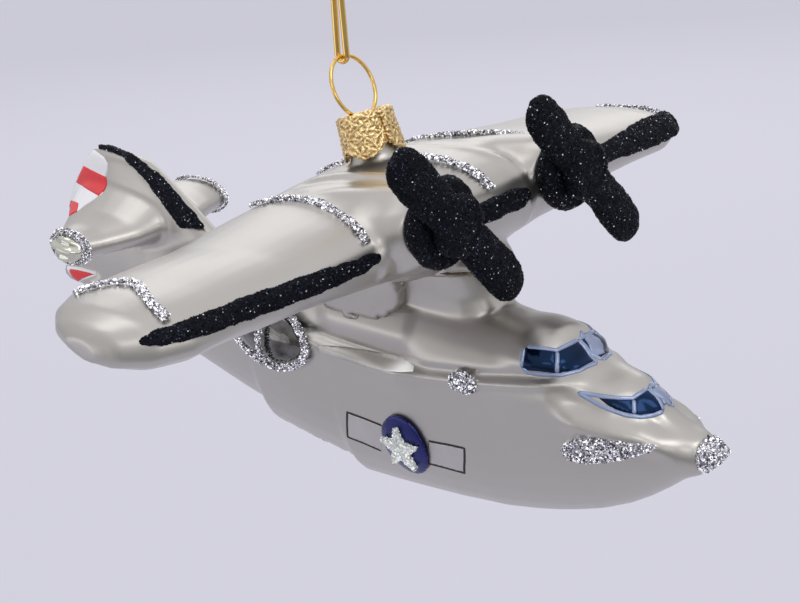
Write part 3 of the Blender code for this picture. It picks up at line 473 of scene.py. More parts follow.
wing_mesh = sagged(softened(merged_copy("wing"), GLASS_VOXEL, GLASS_PASSES))
spots, normals = places(wing_mesh)
x, y, z = spots[:, 0], spots[:, 1], spots[:, 2]
outer = np.abs(y) - np.interp(x, FOLD_X, FOLD_Y)
upper = rise(14.0, 17.0, z) * rise(-14.0, -8.0, x)
wing_height = upper * (0.45 * ridge(outer, 0.9) - 0.35 * ridge(outer + 2.6, 1.5))
inner = np.abs(y) - np.interp(x, FOLD_X, [9.0, 8.4, 8.0, 8.6])
wing_height += upper * (0.30 * ridge(inner, 1.1) - 0.35 * ridge(inner - 2.4, 1.4))
wing_height += 0.25 * wobble(spots, 24.0, 4) + 0.05 * wobble(spots, 7.0, 5)
neck = (1.0 - rise(10.5, 13.5, z)) * (1.0 - rise(11.0, 14.0, np.abs(y)))
wing_height += neck * (NECK_SWELL + NECK_FLARE * np.clip(z, 0.0, 10.0))
wing_height -= TIP_THINNER * rise(0.1, 0.8, -normals[:, 2]) * rise(42.0, 60.0, -y)
push(wing_mesh, wing_height)
wing_mesh = smoothed(wing_mesh, 4)
wing_glass = add_piece("wing_glass", wing_mesh, [SATIN], replaced=("wing",))
print("wing faces", len(wing_mesh.polygons))


# %% [markdown]
# Glitter is scattered with Geometry Nodes: points spread over a surface, one small flat flake on
# each, tilted at random so that a few catch the light. A particle system could place them too, but
# it can't give each flake its own number as easily. The tree takes the flake's size, its tilt and
# how many there are for each square millimetre. It realizes the flakes, so what leaves it is one
# plain mesh.

# %% Glitter tree
def glitter_tree():
    tree = new_tree("Glitter", "GeometryNodeTree",
                    [("Geometry", "NodeSocketGeometry", None), ("Density", "NodeSocketFloat", 1e6),
                     ("Flake Size", "NodeSocketFloat", 0.0003), ("Tilt", "NodeSocketFloat", 0.8),
                     ("Lift", "NodeSocketFloat", 0.0001), ("Seed", "NodeSocketInt", 1),
                     ("Flake Material", "NodeSocketMaterial", None)],
                    [("Geometry", "NodeSocketGeometry")])
    enter = node(tree, "NodeGroupInput")
    leave = node(tree, "NodeGroupOutput")
    link = tree.links.new
    scatter = node(tree, "GeometryNodeDistributePointsOnFaces")
    link(enter.outputs["Geometry"], scatter.inputs["Mesh"])
    link(enter.outputs["Density"], scatter.inputs["Density"])
    link(enter.outputs["Seed"], scatter.inputs["Seed"])
    lift = node(tree, "FunctionNodeRandomValue", data_type="FLOAT")
    link(enter.outputs["Lift"], lift.inputs[3])
    link(enter.outputs["Seed"], lift.inputs["Seed"])
    offset = node(tree, "ShaderNodeVectorMath", operation="SCALE")
    link(scatter.outputs["Normal"], offset.inputs[0])
    link(lift.outputs[1], offset.inputs["Scale"])
    raised = node(tree, "GeometryNodeSetPosition")
    link(scatter.outputs["Points"], raised.inputs["Geometry"])
    link(offset.outputs[0], raised.inputs["Offset"])
    spread = node(tree, "FunctionNodeRandomValue", data_type="FLOAT_VECTOR")
    tilt_low = node(tree, "ShaderNodeVectorMath", operation="SCALE")
    tilt_low.inputs[0].default_value = (-1.0, -1.0, -4.0)
    tilt_high = node(tree, "ShaderNodeVectorMath", operation="SCALE")
    tilt_high.inputs[0].default_value = (1.0, 1.0, 4.0)
    for scale in (tilt_low, tilt_high):
        link(enter.outputs["Tilt"], scale.inputs["Scale"])
    link(tilt_low.outputs[0], spread.inputs[0])
    link(tilt_high.outputs[0], spread.inputs[1])
    link(enter.outputs["Seed"], spread.inputs["Seed"])
    euler = node(tree, "FunctionNodeEulerToRotation")
    link(spread.outputs[0], euler.inputs[0])
    turned = node(tree, "FunctionNodeRotateRotation", rotation_space="LOCAL")
    link(scatter.outputs["Rotation"], turned.inputs[0])
    link(euler.outputs[0], turned.inputs[1])
    flake = node(tree, "GeometryNodeMeshCircle", fill_type="NGON")
    flake.inputs["Vertices"].default_value = 4
    link(enter.outputs["Flake Size"], flake.inputs["Radius"])
    size = node(tree, "FunctionNodeRandomValue", data_type="FLOAT")
    size.inputs[2].default_value = 0.45
    size.inputs[3].default_value = 1.15
    placed = node(tree, "GeometryNodeInstanceOnPoints")
    link(raised.outputs["Geometry"], placed.inputs["Points"])
    link(flake.outputs["Mesh"], placed.inputs["Instance"])
    link(turned.outputs[0], placed.inputs["Rotation"])
    link(size.outputs[1], placed.inputs["Scale"])
    random = node(tree, "FunctionNodeRandomValue", data_type="FLOAT")
    random.inputs["Seed"].default_value = 11
    glint = node(tree, "GeometryNodeStoreNamedAttribute", data_type="FLOAT", domain="INSTANCE")
    glint.inputs["Name"].default_value = "glint"
    link(placed.outputs["Instances"], glint.inputs["Geometry"])
    link(random.outputs[1], glint.inputs["Value"])
    real = node(tree, "GeometryNodeRealizeInstances")
    link(glint.outputs["Geometry"], real.inputs["Geometry"])
    paint = node(tree, "GeometryNodeSetMaterial")
    link(real.outputs["Geometry"], paint.inputs["Geometry"])
    link(enter.outputs["Flake Material"], paint.inputs["Material"])
    both = node(tree, "GeometryNodeJoinGeometry")
    link(enter.outputs["Geometry"], both.inputs["Geometry"])
    link(paint.outputs["Geometry"], both.inputs["Geometry"])
    link(both.outputs["Geometry"], leave.inputs["Geometry"])
    return tree


GLITTER = glitter_tree()


def glittered(mesh, base, flake, density, size, tilt, lift, seed):
    """Returns the mesh in its base finish with flakes over it, density in flakes per mm2."""
    mesh.materials.clear()
    mesh.materials.append(base)
    helper = bpy.data.objects.new("helper", mesh)
    bpy.context.scene.collection.objects.link(helper)
    modifier = helper.modifiers.new("glitter", "NODES")
    modifier.node_group = GLITTER
    values = {"Density": density / MM ** 2, "Flake Size": size * MM, "Tilt": tilt, "Lift": lift * MM,
              "Seed": seed, "Flake Material": flake}
    for item in GLITTER.interface.items_tree:
        if item.in_out == "INPUT" and item.name in values:
            modifier[item.identifier] = values[item.name]
    graph = bpy.context.evaluated_depsgraph_get()
    result = bpy.data.meshes.new_from_object(helper.evaluated_get(graph))
    bpy.data.objects.remove(helper)
    used = [int(material == flake) for material in result.materials]
    numbers = np.empty(len(result.polygons), dtype=np.int32)
    result.polygons.foreach_get("material_index", numbers)
    result.materials.clear()
    for material in (base, flake):
        result.materials.append(material)
    result.polygons.foreach_set("material_index", np.array(used, dtype=np.int32)[numbers])
    return result


# %% [markdown]
# Each glitter piece starts from its solid. The copy is rebuilt fine, made lumpy like a line of
# glue squeezed from a tube, and swollen or thinned a little, as the real one is. The hand left
# three of them uneven: the starboard leading strip is lean, the fin strip's top end hangs low and
# the nose is drawn out. Those are shaped first, since flakes have to follow the final surface.

# %% Glitter pieces
COARSE = {"base": SILVER_BASE, "flake": SILVER_FLAKE, "density": 24.0, "size": 0.215, "tilt": 0.85,
          "lift": 0.12, "slot": "silver_glitter"}
FINE_BLACK = {"base": BLACK_BASE, "flake": BLACK_FLAKE, "density": 16.0, "size": 0.16, "tilt": 0.55,
              "lift": 0.05, "slot": "black_glitter"}
WHITE_GRAIN = {"base": WHITE_BASE, "flake": WHITE_FLAKE, "density": 18.0, "size": 0.215, "tilt": 0.6,
               "lift": 0.08, "slot": "white_glitter"}

# Start of the name, style, voxel, smoothing passes, swell and height of the lumps, in millimetres
GLITTER_PIECES = [
    ("propeller", FINE_BLACK, 0.30, 4, 0.10, 0.18), ("cowling", FINE_BLACK, 0.30, 4, 0.12, 0.18),
    ("leading_strip_starboard", FINE_BLACK, 0.22, 6, 0.12, 0.22),
    ("leading_strip_port", FINE_BLACK, 0.22, 6, 0.16, 0.24),
    ("leading_strip_centre", FINE_BLACK, 0.22, 4, 0.50, 0.22),
    ("fin_strip", FINE_BLACK, 0.20, 3, 0.22, 0.18),
    ("tip_band", COARSE, 0.16, 3, -0.05, 0.14), ("panel_band", COARSE, 0.16, 3, -0.08, 0.14),
    ("centre_band", COARSE, 0.16, 3, -0.05, 0.14), ("tail_hoop_starboard", COARSE, 0.16, 3, -0.16, 0.12),
    ("tail_hoop_port", COARSE, 0.16, 3, -0.24, 0.12),
    ("blister_hoop", COARSE, 0.18, 3, -0.10, 0.14), ("side_bump", COARSE, 0.18, 3, 0.05, 0.2),
    ("cheek_patch", COARSE, 0.18, 3, 0.20, 0.2), ("nose_cone", COARSE, 0.25, 6, 0.0, 0.2),
    ("star", WHITE_GRAIN, 0.14, 1, 0.12, 0.08),
]
STRIP_SQUEEZE = 0.30
STRIP_SLICE = 2.0
FIN_TOP_DROP = np.array((-0.9, 0.0, -1.1))
NOSE_START = 62.9
NOSE_LONG = 3.4
NOSE_AXIS = -12.4


def starts_with(name, stem):
    return name == stem or name.startswith(stem + "_")


def hand_shaped(name, spots):
    """Three pieces that the hand left uneven: a lean strip, a low top end and a drawn out nose."""
    x, y, z = spots[:, 0], spots[:, 1], spots[:, 2]
    if name == "leading_strip_starboard":
        slices = np.round(y / STRIP_SLICE)
        keys = np.unique(slices)
        for axis in (0, 2):
            means = np.array([spots[slices == key, axis].mean() for key in keys])
            centre = np.interp(y, keys * STRIP_SLICE, means)
            spots[:, axis] = centre + (spots[:, axis] - centre) * (1.0 - STRIP_SQUEEZE)
    if name == "fin_strip":
        spots += rise(13.5, 17.5, z)[:, None] * FIN_TOP_DROP
    if name == "nose_cone":
        share = np.clip((x - NOSE_START) / NOSE_LONG, 0.0, 1.0)
        spots[:, 1] = y * (0.93 - 0.45 * share)
        spots[:, 2] = NOSE_AXIS + (z - NOSE_AXIS) * (0.93 - 0.45 * share) + 0.3 + 1.2 * share
        spots[:, 0] = x - 0.3 + 0.4 * share
    return spots


seed = 1
for stem, style, voxel, passes, swell, lumps in GLITTER_PIECES:
    for name in sorted(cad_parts):
        if not starts_with(name, stem):
            continue
        seed += 1
        mesh = sagged(softened(merged_copy(name), voxel, passes))
        spots, normals = places(mesh)
        put(mesh, hand_shaped(name, spots))
        spots, normals = places(mesh)
        push(mesh, swell + lumps * wobble(spots, 2.0, seed) + 0.4 * lumps * wobble(spots, 0.7, seed + 40))
        mesh = glittered(mesh, style["base"], style["flake"], style["density"], style["size"],
                         style["tilt"], style["lift"], seed)
        add_piece(name + "_glitter", mesh, [style["base"], style["flake"]], replaced=(name,))
        print(name, "faces", len(mesh.polygons))

# %% [markdown]
# The cap is thin stamped metal. Its solid already has the petals and the two holes, so a fine
# copy only needs the stamping: rows of small starbursts round the side, a pebbled top and slits
# between the petals. A bump map would leave its outline smooth, so the vertices move. Working in
# the cap's own leaning frame turns all of this into plain formulas.

# %% Stamped cap
CAP_BASE = np.array((-3.4, 0.0, 26.9))
CAP_LEAN = math.radians(-17.0)
CAP_RADIUS = 5.15
CAP_HEIGHT = 6.9
BURSTS_ROUND = 10
BURST_TALL = 2.9
BURST_DEEP = 0.20

cap_mesh = softened(merged_copy("cap"), 0.14, 2)
spots, normals = places(cap_mesh)
lean = np.array(Matrix.Rotation(CAP_LEAN, 3, "Y"))
own = (spots - CAP_BASE) @ lean
around = np.arctan2(own[:, 1], own[:, 0])
radius = np.hypot(own[:, 0], own[:, 1])
burst_wide = 2 * math.pi * CAP_RADIUS / BURSTS_ROUND
row = np.round(own[:, 2] / BURST_TALL)
shift = 0.5 * np.mod(row, 2)
column = np.round(around * CAP_RADIUS / burst_wide - shift)
across = around * CAP_RADIUS - (column + shift) * burst_wide
down = own[:, 2] - row * BURST_TALL
reach = np.hypot(across, down)
spokes = np.cos(7 * np.arctan2(down, across)) * ridge(reach - 0.9, 0.6)
pebbles = wobble(spots, 0.42, 9)
relief = 0.55 * spokes + 0.5 * ridge(reach, 0.28) + 0.75 * pebbles
quarter = np.mod(around + math.radians(14.0), math.pi / 2)
slit = ridge(quarter * CAP_RADIUS, 0.22) * (1.0 - rise(5.4, 6.0, own[:, 2]))
overlap = (quarter / (math.pi / 2) - 0.5) * (1.0 - rise(5.0, 6.6, own[:, 2]))
outside = rise(4.2, 4.7, radius)
top = own[:, 2] > CAP_HEIGHT - 0.35
height = np.where(top, 0.10 * pebbles, BURST_DEEP * relief - 0.35 * slit - 0.30 * overlap)
push(cap_mesh, height * np.where(top, 1.0, outside))
# Painted light: the colour is pale on the ridges as painted highlight, and brown in the hollows and slits as
# painted shade.
tint = cap_mesh.attributes.new("relief", "FLOAT", "POINT")
tint.data.foreach_set("value", np.clip(0.62 + 0.75 * relief - 1.2 * slit, 0.0, 1.0).astype(np.float32))
add_piece("stamped_cap", cap_mesh, [CAP_GOLD_SHADED], replaced=("cap",))
print("cap faces", len(cap_mesh.polygons))

# %% [markdown]
# The hook and the ring are bent from gold wire, and only need to be round. Their solids have flat
# facets. A curve with a round bevel could take their place, but a fine smooth copy follows every
# bend of the solid without a second list of points. Each stays on its own body.

# %% Ring and hook
for name, voxel, body in (("hanging_ring", 0.13, "ring_body"), ("hook", 0.19, "hook_body")):
    mesh = softened(merged_copy(name), voxel, 3)
    push(mesh, np.full(len(mesh.vertices), 0.02))
    add_piece(name + "_wire", mesh, [GOLD], body=body, replaced=(name,))
    print(name, "faces", len(mesh.polygons))

# %% [markdown]
# The waist blisters are mirror glass under their glitter hoops, darkened and streaked as a painted
# reflection of the wing's dark underside. The discs on the hull are drops of blue enamel, and amber
# glue squeezed out of the joint under the wing. All of them are small soft shapes, so they are made
# as the glass is, with a slow ripple in place of creases.

# %% Blisters, discs and glue
for side, label in SIDES:
    mesh = softened(merged_copy("blister_dome_" + label), 0.30, 4)
    spots, normals = places(mesh)
    push(mesh, 0.10 * wobble(spots, 3.0, 6 + side))
    add_piece("blister_" + label, mesh, [DARKENED_MIRROR], replaced=("blister_dome_" + label,))
    mesh = softened(merged_copy("roundel_" + label), 0.22, 2)
    push(mesh, np.full(len(mesh.vertices), 0.12))
    add_piece("enamel_" + label, mesh, [BLUE], replaced=("roundel_" + label,))
mesh = softened(merged_copy("glue_bead"), 0.14, 2)
spots, normals = places(mesh)
push(mesh, -0.10 + 0.22 * wobble(spots, 1.5, 8))
add_piece("glue", mesh, [AMBER], replaced=("glue_bead",))
print("glue faces", len(mesh.polygons))


# %% [markdown]
# Paint is a thin raised layer with round edges. A patch fills an outline on the glass: its points
# are dropped onto the surface, and its height falls to nothing at the rim. A stroke is a flat
# bead along a path. Painting with a mask in the glass's material would need no mesh, but it would
# have no thickness to catch the light. Outlines are given where they show in the picture, carried
# onto the glass through the camera, and mirrored to the port side.

# %% Helpers for paint
PATCH_STEP = 0.45
STROKE_STEP = 0.35
SUNK = 0.06
FAR = 0.05


class Glass:
    def __init__(self, piece):
        mesh = piece.data
        corners = [vertex.co.copy() for vertex in mesh.vertices]
        self.tree = BVHTree.FromPolygons(corners, [tuple(polygon.vertices) for polygon in mesh.polygons])

    def seen(self, outline):
        """Where the camera sees each picture place on the glass."""
        found = []
        for across, down in outline:
            hit = self.tree.ray_cast(camera_spot, pixel_ray(across, down))
            if hit[0] is None:
                print("misses the glass", across, down)
                continue
            found.append(hit[0])
        return found

    def nearest(self, spot):
        hit = self.tree.find_nearest(spot)
        return hit[0], hit[1]


HULL = Glass(hull_glass)


def mirrored(spots):
    return [Vector((spot.x, -spot.y, spot.z)) for spot in spots]


def even(path, step, closed):
    """The same path with points at even steps."""
    path = path + path[:1] if closed else path
    result = []
    for start, end in zip(path, path[1:]):
        count = max(1, round((end - start).length / step))
        result += [start.lerp(end, index / count) for index in range(count)]
    return result if closed else result + [path[-1]]


def rim_distance(spot, rim):
    best = 1.0
    for start, end in zip(rim, rim[1:] + rim[:1]):
        line = end - start
        share = max(0.0, min(1.0, (spot - start).dot(line) / max(line.length_squared, 1e-18)))
        best = min(best, (spot - start - line * share).length)
    return best


def inside(spot, rim):
    crossings = 0
    for start, end in zip(rim, rim[1:] + rim[:1]):
        if (start.y > spot.y) != (end.y > spot.y):
            if spot.x < start.x + (spot.y - start.y) * (end.x - start.x) / (end.y - start.y):
                crossings += 1
    return crossings % 2 == 1


def patch(glass, outline, thick, edge, lift=0.0):
    """Points and faces of one closed layer of paint over the outline."""
    middle = sum(outline, Vector()) / len(outline)
    outward = sum((glass.nearest(spot)[1] for spot in outline), Vector()).normalized()
    first = outward.orthogonal().normalized()
    second = outward.cross(first)
    rim = [Vector(((spot - middle).dot(first), (spot - middle).dot(second))) for spot in outline]
    rim = even(rim, PATCH_STEP * MM, True)
    flat = list(rim)
    low = [min(spot[axis] for spot in rim) for axis in (0, 1)]
    high = [max(spot[axis] for spot in rim) for axis in (0, 1)]
    step = PATCH_STEP * MM
    for i in range(1, int((high[0] - low[0]) / step) + 1):
        for j in range(1, int((high[1] - low[1]) / step) + 1):
            spot = Vector((low[0] + i * step, low[1] + (j + 0.5 * (i % 2)) * step))
            if inside(spot, rim) and rim_distance(spot, rim) > 0.4 * step:
                flat.append(spot)
    count = len(rim)
    edges = [(index, (index + 1) % count) for index in range(count)]
    flat, _, faces, _, _, _ = geometry.delaunay_2d_cdt(flat, edges, [], 1, 1e-7)
    top = []
    under = []
    for spot in flat:
        start = middle + first * spot.x + second * spot.y + outward * FAR
        hit = glass.tree.ray_cast(start, -outward)
        place, normal = (hit[0], hit[1]) if hit[0] is not None else glass.nearest(start - outward * FAR)
        if abs((place - start).length - FAR) > 0.01:
            place, normal = glass.nearest(start - outward * FAR)
        share = min(1.0, rim_distance(spot, rim) / (edge * MM))
        height = lift + 0.02 + thick * math.sqrt(max(0.0, 1.0 - (1.0 - share) ** 2))
        top.append(place + normal * height * MM)
        under.append(place - normal * SUNK * MM)
    block = len(flat)
    solid = [tuple(face) for face in faces]
    sides = {}
    for face in solid:
        for start, end in zip(face, face[1:] + face[:1]):
            key = (min(start, end), max(start, end))
            sides[key] = None if key in sides else (start, end)
    shell = list(solid) + [tuple(block + corner for corner in reversed(face)) for face in solid]
    shell += [(end, start, start + block, end + block) for start, end in
              (side for side in sides.values() if side)]
    return top + under, shell


def stroke(glass, path, width, thick, lift=0.0):
    """A flat bead of paint along a path, with round ends."""
    path = even(path, STROKE_STEP * MM, False)
    centres = [glass.nearest(spot) for spot in path]
    lengths = [0.0]
    for before, after in zip(centres, centres[1:]):
        lengths.append(lengths[-1] + (after[0] - before[0]).length)
    section = [(math.cos(math.pi * k / 6), math.sin(math.pi * k / 6)) for k in range(7)]
    points = []
    for index, (spot, normal) in enumerate(centres):
        ahead = centres[min(index + 1, len(centres) - 1)][0] - centres[max(index - 1, 0)][0]
        across = normal.cross(ahead).normalized()
        end = min(lengths[index], lengths[-1] - lengths[index]) / (width * MM / 2)
        taper = math.sqrt(max(0.05, 1.0 - (1.0 - min(1.0, end)) ** 2))
        for sideways, upwards in section:
            points.append(spot + across * sideways * taper * width * MM / 2
                          + normal * (lift + 0.02 + upwards * thick * taper) * MM)
        for sideways in (-1.0, 1.0):
            points.append(spot + across * sideways * taper * width * MM / 2 - normal * SUNK * MM)
    count = len(section) + 2
    faces = []
    for row in range(len(centres) - 1):
        for column in range(count):
            near = row * count + column
            near_next = row * count + (column + 1) % count
            faces.append((near, near + count, near_next + count, near_next))
    faces.append(tuple(range(count)))
    faces.append(tuple((len(centres) - 1) * count + k for k in reversed(range(count))))
    return points, faces


def paint(name, layers, material, slot):
    """Joins layers of (points, faces) into one piece."""
    points = []
    faces = []
    for layer_points, layer_faces in layers:
        faces += [tuple(len(points) + corner for corner in face) for face in layer_faces]
        points += layer_points
    mesh = bpy.data.meshes.new(name)
    mesh.from_pydata(points, [], faces)
    shape = bmesh.new()
    shape.from_mesh(mesh)
    bmesh.ops.recalc_face_normals(shape, faces=shape.faces)
    shape.to_mesh(mesh)
    shape.free()
    return add_piece(name, mesh, [material])


# %% [markdown]
# Both cabins have side panes of glossy metallic blue and a paler front pane, with lavender frames
# drawn over their joints by hand. Side panes and their frames are painted on each side, and kept
# off the middle plane so that the two sides don't cross. The front panes and the strokes on the
# crest lie on the middle, so they are painted once.

# %% Windows
PANES = [
    [(525.5, 347.5), (556.5, 349.8), (557.0, 373.4), (522.4, 370.0)],
    [(557.5, 351.0), (581.0, 340.0), (594.0, 361.0), (578.0, 369.5), (557.5, 373.8)],
    [(598.0, 397.4), (633.0, 399.4), (633.6, 414.0), (620.0, 411.6), (608.0, 405.6)],
    [(634.2, 398.6), (650.0, 388.6), (662.8, 405.0), (663.0, 410.6), (650.0, 415.0), (634.6, 415.6)],
]
FRONT_PANES = [
    [(584.6, 333.0), (592.0, 334.5), (599.0, 339.0), (603.0, 346.0), (604.5, 353.5), (594.6, 357.0),
     (584.6, 339.5)],
    [(654.4, 383.5), (661.0, 388.0), (668.0, 397.0), (672.0, 403.5), (664.0, 405.5), (652.6, 389.4)],
]
CENTRE_FRAMES = [
    [(581.8, 330.6), (581.6, 337.8)],
    [(652.6, 382.4), (650.2, 387.0)],
]
FRAMES = [
    [(527.0, 346.6), (541.0, 348.2), (556.5, 350.6), (569.0, 344.5), (581.6, 337.8)],
    [(523.6, 348.2), (522.4, 358.0), (521.8, 367.6)],
    [(521.8, 367.6), (528.0, 372.6), (545.0, 375.0), (562.0, 375.2), (580.0, 370.5), (597.5, 363.0)],
    [(557.0, 351.5), (557.2, 373.5)],
    [(581.6, 337.8), (589.0, 351.5), (597.5, 363.0)],
    [(577.5, 392.6), (590.0, 394.2), (604.0, 396.6), (618.0, 398.0), (632.5, 398.2), (641.0, 392.8),
     (650.2, 387.0)],
    [(577.5, 392.6), (588.0, 398.5), (600.0, 405.5), (613.0, 410.8), (626.0, 415.2), (640.0, 417.2),
     (654.0, 415.2), (663.8, 411.2)],
    [(633.8, 399.5), (634.4, 414.4)],
    [(650.2, 387.0), (657.0, 397.5), (663.8, 410.8)],
]
FRAME_WIDTH = 0.72
SEAM_GAP = 0.15 * MM


def on_side(side, spots):
    """Starboard places kept on their own side of the middle plane, or mirrored to port."""
    return [Vector((spot.x, side * max(-spot.y, SEAM_GAP), spot.z)) for spot in spots]


for side, label in SIDES:
    panes = [patch(HULL, on_side(side, HULL.seen(outline)), 0.10, 0.35) for outline in PANES]
    bars = [stroke(HULL, on_side(side, HULL.seen(route)), FRAME_WIDTH, 0.2) for route in FRAMES]
    paint("panes_" + label, panes, PANE, "blue_enamel")
    paint("frames_" + label, bars, FRAME_PAINT, "blue_enamel")
fronts = [patch(HULL, HULL.seen(outline), 0.10, 0.3, lift=0.10) for outline in FRONT_PANES]
paint("front_panes", fronts, FRONT_PANE, "blue_enamel")
crests = [stroke(HULL, HULL.seen(route), FRAME_WIDTH, 0.2) for route in CENTRE_FRAMES]
paint("centre_frames", crests, FRAME_PAINT, "blue_enamel")
print("panes on each side", len(PANES), "frame strokes", len(FRAMES), "front panes", len(FRONT_PANES))

# %% [markdown]
# A bar with a dark outline runs out from each side of the blue disc. The outline is a raised
# stroke that stays open at the disc, and the bar inside it has a faint lilac wash, as the real one
# has where the pen was wiped. Two thin layers are simpler than a third material mask.

# %% Bars beside the disc
BARS = [
    [(382.0, 425.6), (364.5, 418.6), (347.2, 412.3), (347.0, 424.5), (347.7, 437.0), (364.5, 443.5),
     (381.5, 450.9)],
    [(428.3, 441.0), (446.5, 444.4), (464.4, 448.4), (464.6, 460.5), (464.4, 473.1), (446.0, 468.0),
     (427.6, 463.2)],
]
for side, label in SIDES:
    lines = []
    washes = []
    for route in BARS:
        spots = HULL.seen(route)
        spots = spots if side < 0 else mirrored(spots)
        lines.append(stroke(HULL, spots, 0.46, 0.07))
        washes.append(patch(HULL, spots, 0.02, 0.3))
    paint("bar_wash_" + label, washes, LILAC, "satin_silver_glass")
    paint("bar_outline_" + label, lines, OUTLINE, "black_glitter")
print("bars on each side", len(BARS))

# %% [markdown]
# Where the mould pinched the seam, the glass has a flat facet shaped like a lens, which catches a
# bright highlight. It faces the wing's dark underside, so a mirror finish would hide it. A thin layer
# of painted highlight, lighter than the satin and with its own soft shade, shows it from every side.
# Its fore end is the brightest, and glows a little by itself as a painted glint. How much is kept in
# a point attribute, which the material reads.

# %% Pinched facets and their painted highlight
FACET = [(318.0, 345.0), (345.0, 347.0), (370.0, 350.5), (395.0, 355.5), (408.0, 361.0), (414.0, 366.5),
         (413.0, 371.5), (400.0, 372.0), (385.0, 371.0), (370.0, 368.5), (345.0, 360.0), (318.0, 352.0)]
BRIGHT_PLACE = (404.0, 369.0)
BRIGHT_WIDE = 2.6
for side, label in SIDES:
    spots = HULL.seen(FACET)
    layer = patch(HULL, spots if side < 0 else mirrored(spots), 0.05, 0.8, lift=0.04)
    facet_highlight = paint("facet_highlight_" + label, [layer], SEAM_HIGHLIGHT, "satin_silver_glass").data
    bright = np.array(HULL.seen([BRIGHT_PLACE])[0] - HULL_ZERO) / MM * (1.0, -side, 1.0)
    spots, normals = places(facet_highlight)
    shine = facet_highlight.attributes.new("shine", "FLOAT", "POINT")
    distance = np.linalg.norm(spots - bright, axis=1)
    shine.data.foreach_set("value", ridge(distance, BRIGHT_WIDE).astype(np.float32))
    print("facet_highlight", label, "points", len(spots))

# %% [markdown]
# The rudder is painted white with red bands. The paint wraps the thin back edge of the fin, where
# one patch couldn't fold round, so each side gets its own layer, and the red lies on the white.

# %% Rudder paint
RUDDER = [(94.2, 148.5), (88.5, 154.2), (84.0, 163.2), (78.3, 172.1), (76.4, 181.0), (71.9, 188.7),
          (70.6, 197.6), (69.1, 206.5), (68.7, 216.7), (77.0, 211.6), (83.4, 206.5), (93.6, 200.2),
          (98.7, 196.3), (102.5, 193.8), (105.1, 184.8), (105.7, 177.2), (107.6, 170.8), (107.6, 163.2),
          (103.8, 156.8), (96.1, 151.0)]
LOWER_RUDDER = [(66.0, 264.5), (80.0, 267.0), (96.0, 271.5), (97.0, 275.5), (79.0, 284.0), (72.5, 277.0)]
RED_BANDS = [
    [(84.0, 165.7), (105.7, 176.6), (103.8, 191.2), (98.7, 196.1), (76.4, 182.3)],
    [(71.3, 200.2), (78.9, 203.3), (77.0, 211.6), (69.3, 216.1), (69.1, 206.5)],
    [(69.5, 268.8), (79.5, 270.3), (95.5, 274.1), (78.3, 283.4), (72.5, 276.4)],
]


def seen_inward(glass, outline):
    """Like seen, but a place beside the glass moves towards the outline's middle until it is on it."""
    middle = [sum(place[axis] for place in outline) / len(outline) for axis in (0, 1)]
    found = []
    for place in outline:
        for step in range(60):
            share = step / 60
            hit = glass.tree.ray_cast(camera_spot, pixel_ray(place[0] + (middle[0] - place[0]) * share,
                                                             place[1] + (middle[1] - place[1]) * share))
            if hit[0] is not None:
                found.append(hit[0])
                break
    return found


for side, label in SIDES:
    whites = []
    bands = []
    for outlines, layers, lift in (((RUDDER, LOWER_RUDDER), whites, 0.0), (RED_BANDS, bands, 0.09)):
        for outline in outlines:
            spots = seen_inward(HULL, outline)
            layers.append(patch(HULL, spots if side < 0 else mirrored(spots), 0.09, 0.4, lift=lift))
    paint("rudder_white_" + label, whites, WHITE, "white_glitter")
    paint("rudder_red_" + label, bands, RED, "white_glitter")
print("red bands on each side", len(RED_BANDS))

# %% [markdown]
# The studio has a pale lavender floor far below, a sky that is brighter higher up, and six soft
# lights: a broad one behind, two high ones, one low in front, one beside the camera and one that
# shines up from the left. Satin silver shows mostly what is around it, so where a light stands
# decides where a highlight runs. Lamps with no size would only leave hard dots on it.

# %% Stage and light
FLOOR_DEPTH = -1.2
FLOOR_FAR = 16.0
FLOOR_NEAR = 1.6
FLOOR_SIDE = 9.0
bpy.context.scene.view_settings.view_transform = "Standard"
STAGE = finish("pale_stage", (0.688, 0.682, 0.757), 0.9, 0.0, shade=0.02, patch=1.0, bump=0.0)
floor_mesh = bpy.data.meshes.new("floor")
away = Vector((-back.x, -back.y, 0.0)).normalized()
beside = Vector((-away.y, away.x, 0.0))
corners = [away * distance + beside * sideways + Vector((0.0, 0.0, FLOOR_DEPTH))
           for distance, sideways in ((-FLOOR_NEAR, FLOOR_SIDE), (-FLOOR_NEAR, -FLOOR_SIDE),
                                      (FLOOR_FAR, -FLOOR_SIDE), (FLOOR_FAR, FLOOR_SIDE))]
floor_mesh.from_pydata(corners, [], [(0, 1, 2, 3)])
floor_mesh.materials.append(STAGE)
floor = bpy.data.objects.new("floor", floor_mesh)
bpy.context.scene.collection.objects.link(floor)

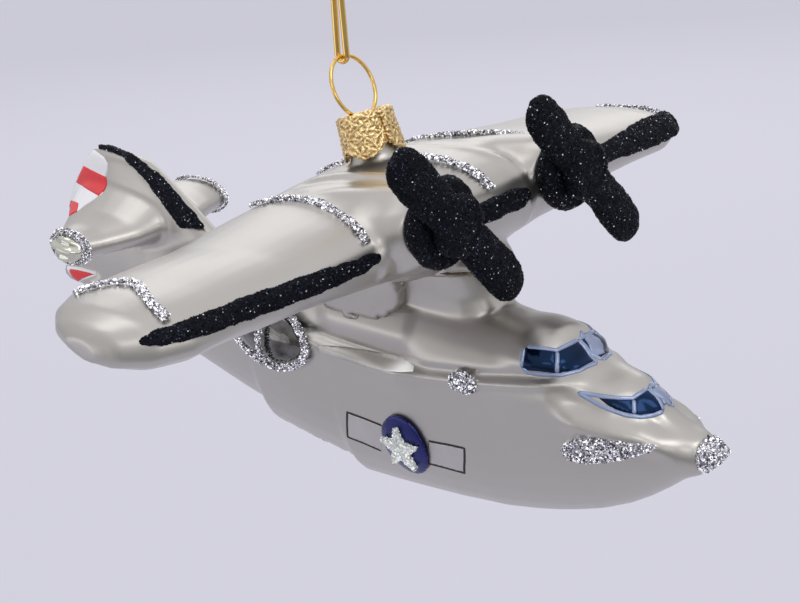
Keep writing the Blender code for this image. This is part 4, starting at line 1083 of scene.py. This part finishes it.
# Height, from 0 straight down to 1 straight up, and grey level
SKY = [(0.0, 0.28), (0.46, 0.38), (0.52, 0.64), (0.63, 0.72), (0.75, 0.76), (0.92, 0.96), (1.0, 0.9)]
world = bpy.data.worlds.new("studio")
bpy.context.scene.world = world
world.use_nodes = True
sky_tree = world.node_tree
sky = sky_tree.nodes["Background"]
facing = node(sky_tree, "ShaderNodeTexCoord")
split = node(sky_tree, "ShaderNodeSeparateXYZ")
halved = node(sky_tree, "ShaderNodeMath", operation="MULTIPLY_ADD")
halved.inputs[1].default_value = 0.5
halved.inputs[2].default_value = 0.5
heights = node(sky_tree, "ShaderNodeValToRGB")
for index, (place, level_of_grey) in enumerate(SKY):
    stop = heights.color_ramp.elements[index] if index < 2 else heights.color_ramp.elements.new(place)
    stop.position = place
    stop.color = (level_of_grey, level_of_grey, level_of_grey * 1.03, 1.0)
sky_tree.links.new(facing.outputs["Generated"], split.inputs[0])
sky_tree.links.new(split.outputs["Z"], halved.inputs[0])
sky_tree.links.new(halved.outputs[0], heights.inputs["Fac"])
sky_tree.links.new(heights.outputs["Color"], sky.inputs["Color"])


def soft_light(name, azimuth, elevation, distance, size, bright, colour=(1.0, 1.0, 1.0)):
    """A softbox in the given direction from the hull, turned towards it, as bright as told."""
    data = bpy.data.lights.new(name, "AREA")
    data.shape = "RECTANGLE"
    data.size, data.size_y = size
    data.energy = bright * math.pi * size[0] * size[1]
    data.color = colour
    lamp = bpy.data.objects.new(name, data)
    bpy.context.scene.collection.objects.link(lamp)
    azimuth = math.radians(azimuth)
    elevation = math.radians(elevation)
    toward = Vector((math.cos(elevation) * math.cos(azimuth), math.cos(elevation) * math.sin(azimuth),
                     math.sin(elevation)))
    lamp.location = HULL_ZERO + toward * distance
    lamp.rotation_euler = (-toward).to_track_quat("-Z", "Y").to_euler()
    return lamp


soft_light("behind", 130.0, 17.0, 5.4, (4.0, 1.7), 1.0)
soft_light("high_left", -165.0, 57.0, 1.2, (0.6, 0.5), 1.1)
soft_light("high_front", -20.0, 58.0, 1.2, (0.6, 0.5), 2.1, (1.0, 0.99, 0.97))
soft_light("low_front", -24.0, 20.0, 1.2, (0.32, 0.26), 1.9, (1.0, 0.99, 0.97))
soft_light("beside_camera", -70.0, 32.0, 1.2, (0.45, 0.32), 1.5, (1.0, 0.99, 0.97))
soft_light("low_left", -128.0, -6.0, 1.2, (0.9, 0.34), 0.85)
print("lights", len(bpy.data.lights))
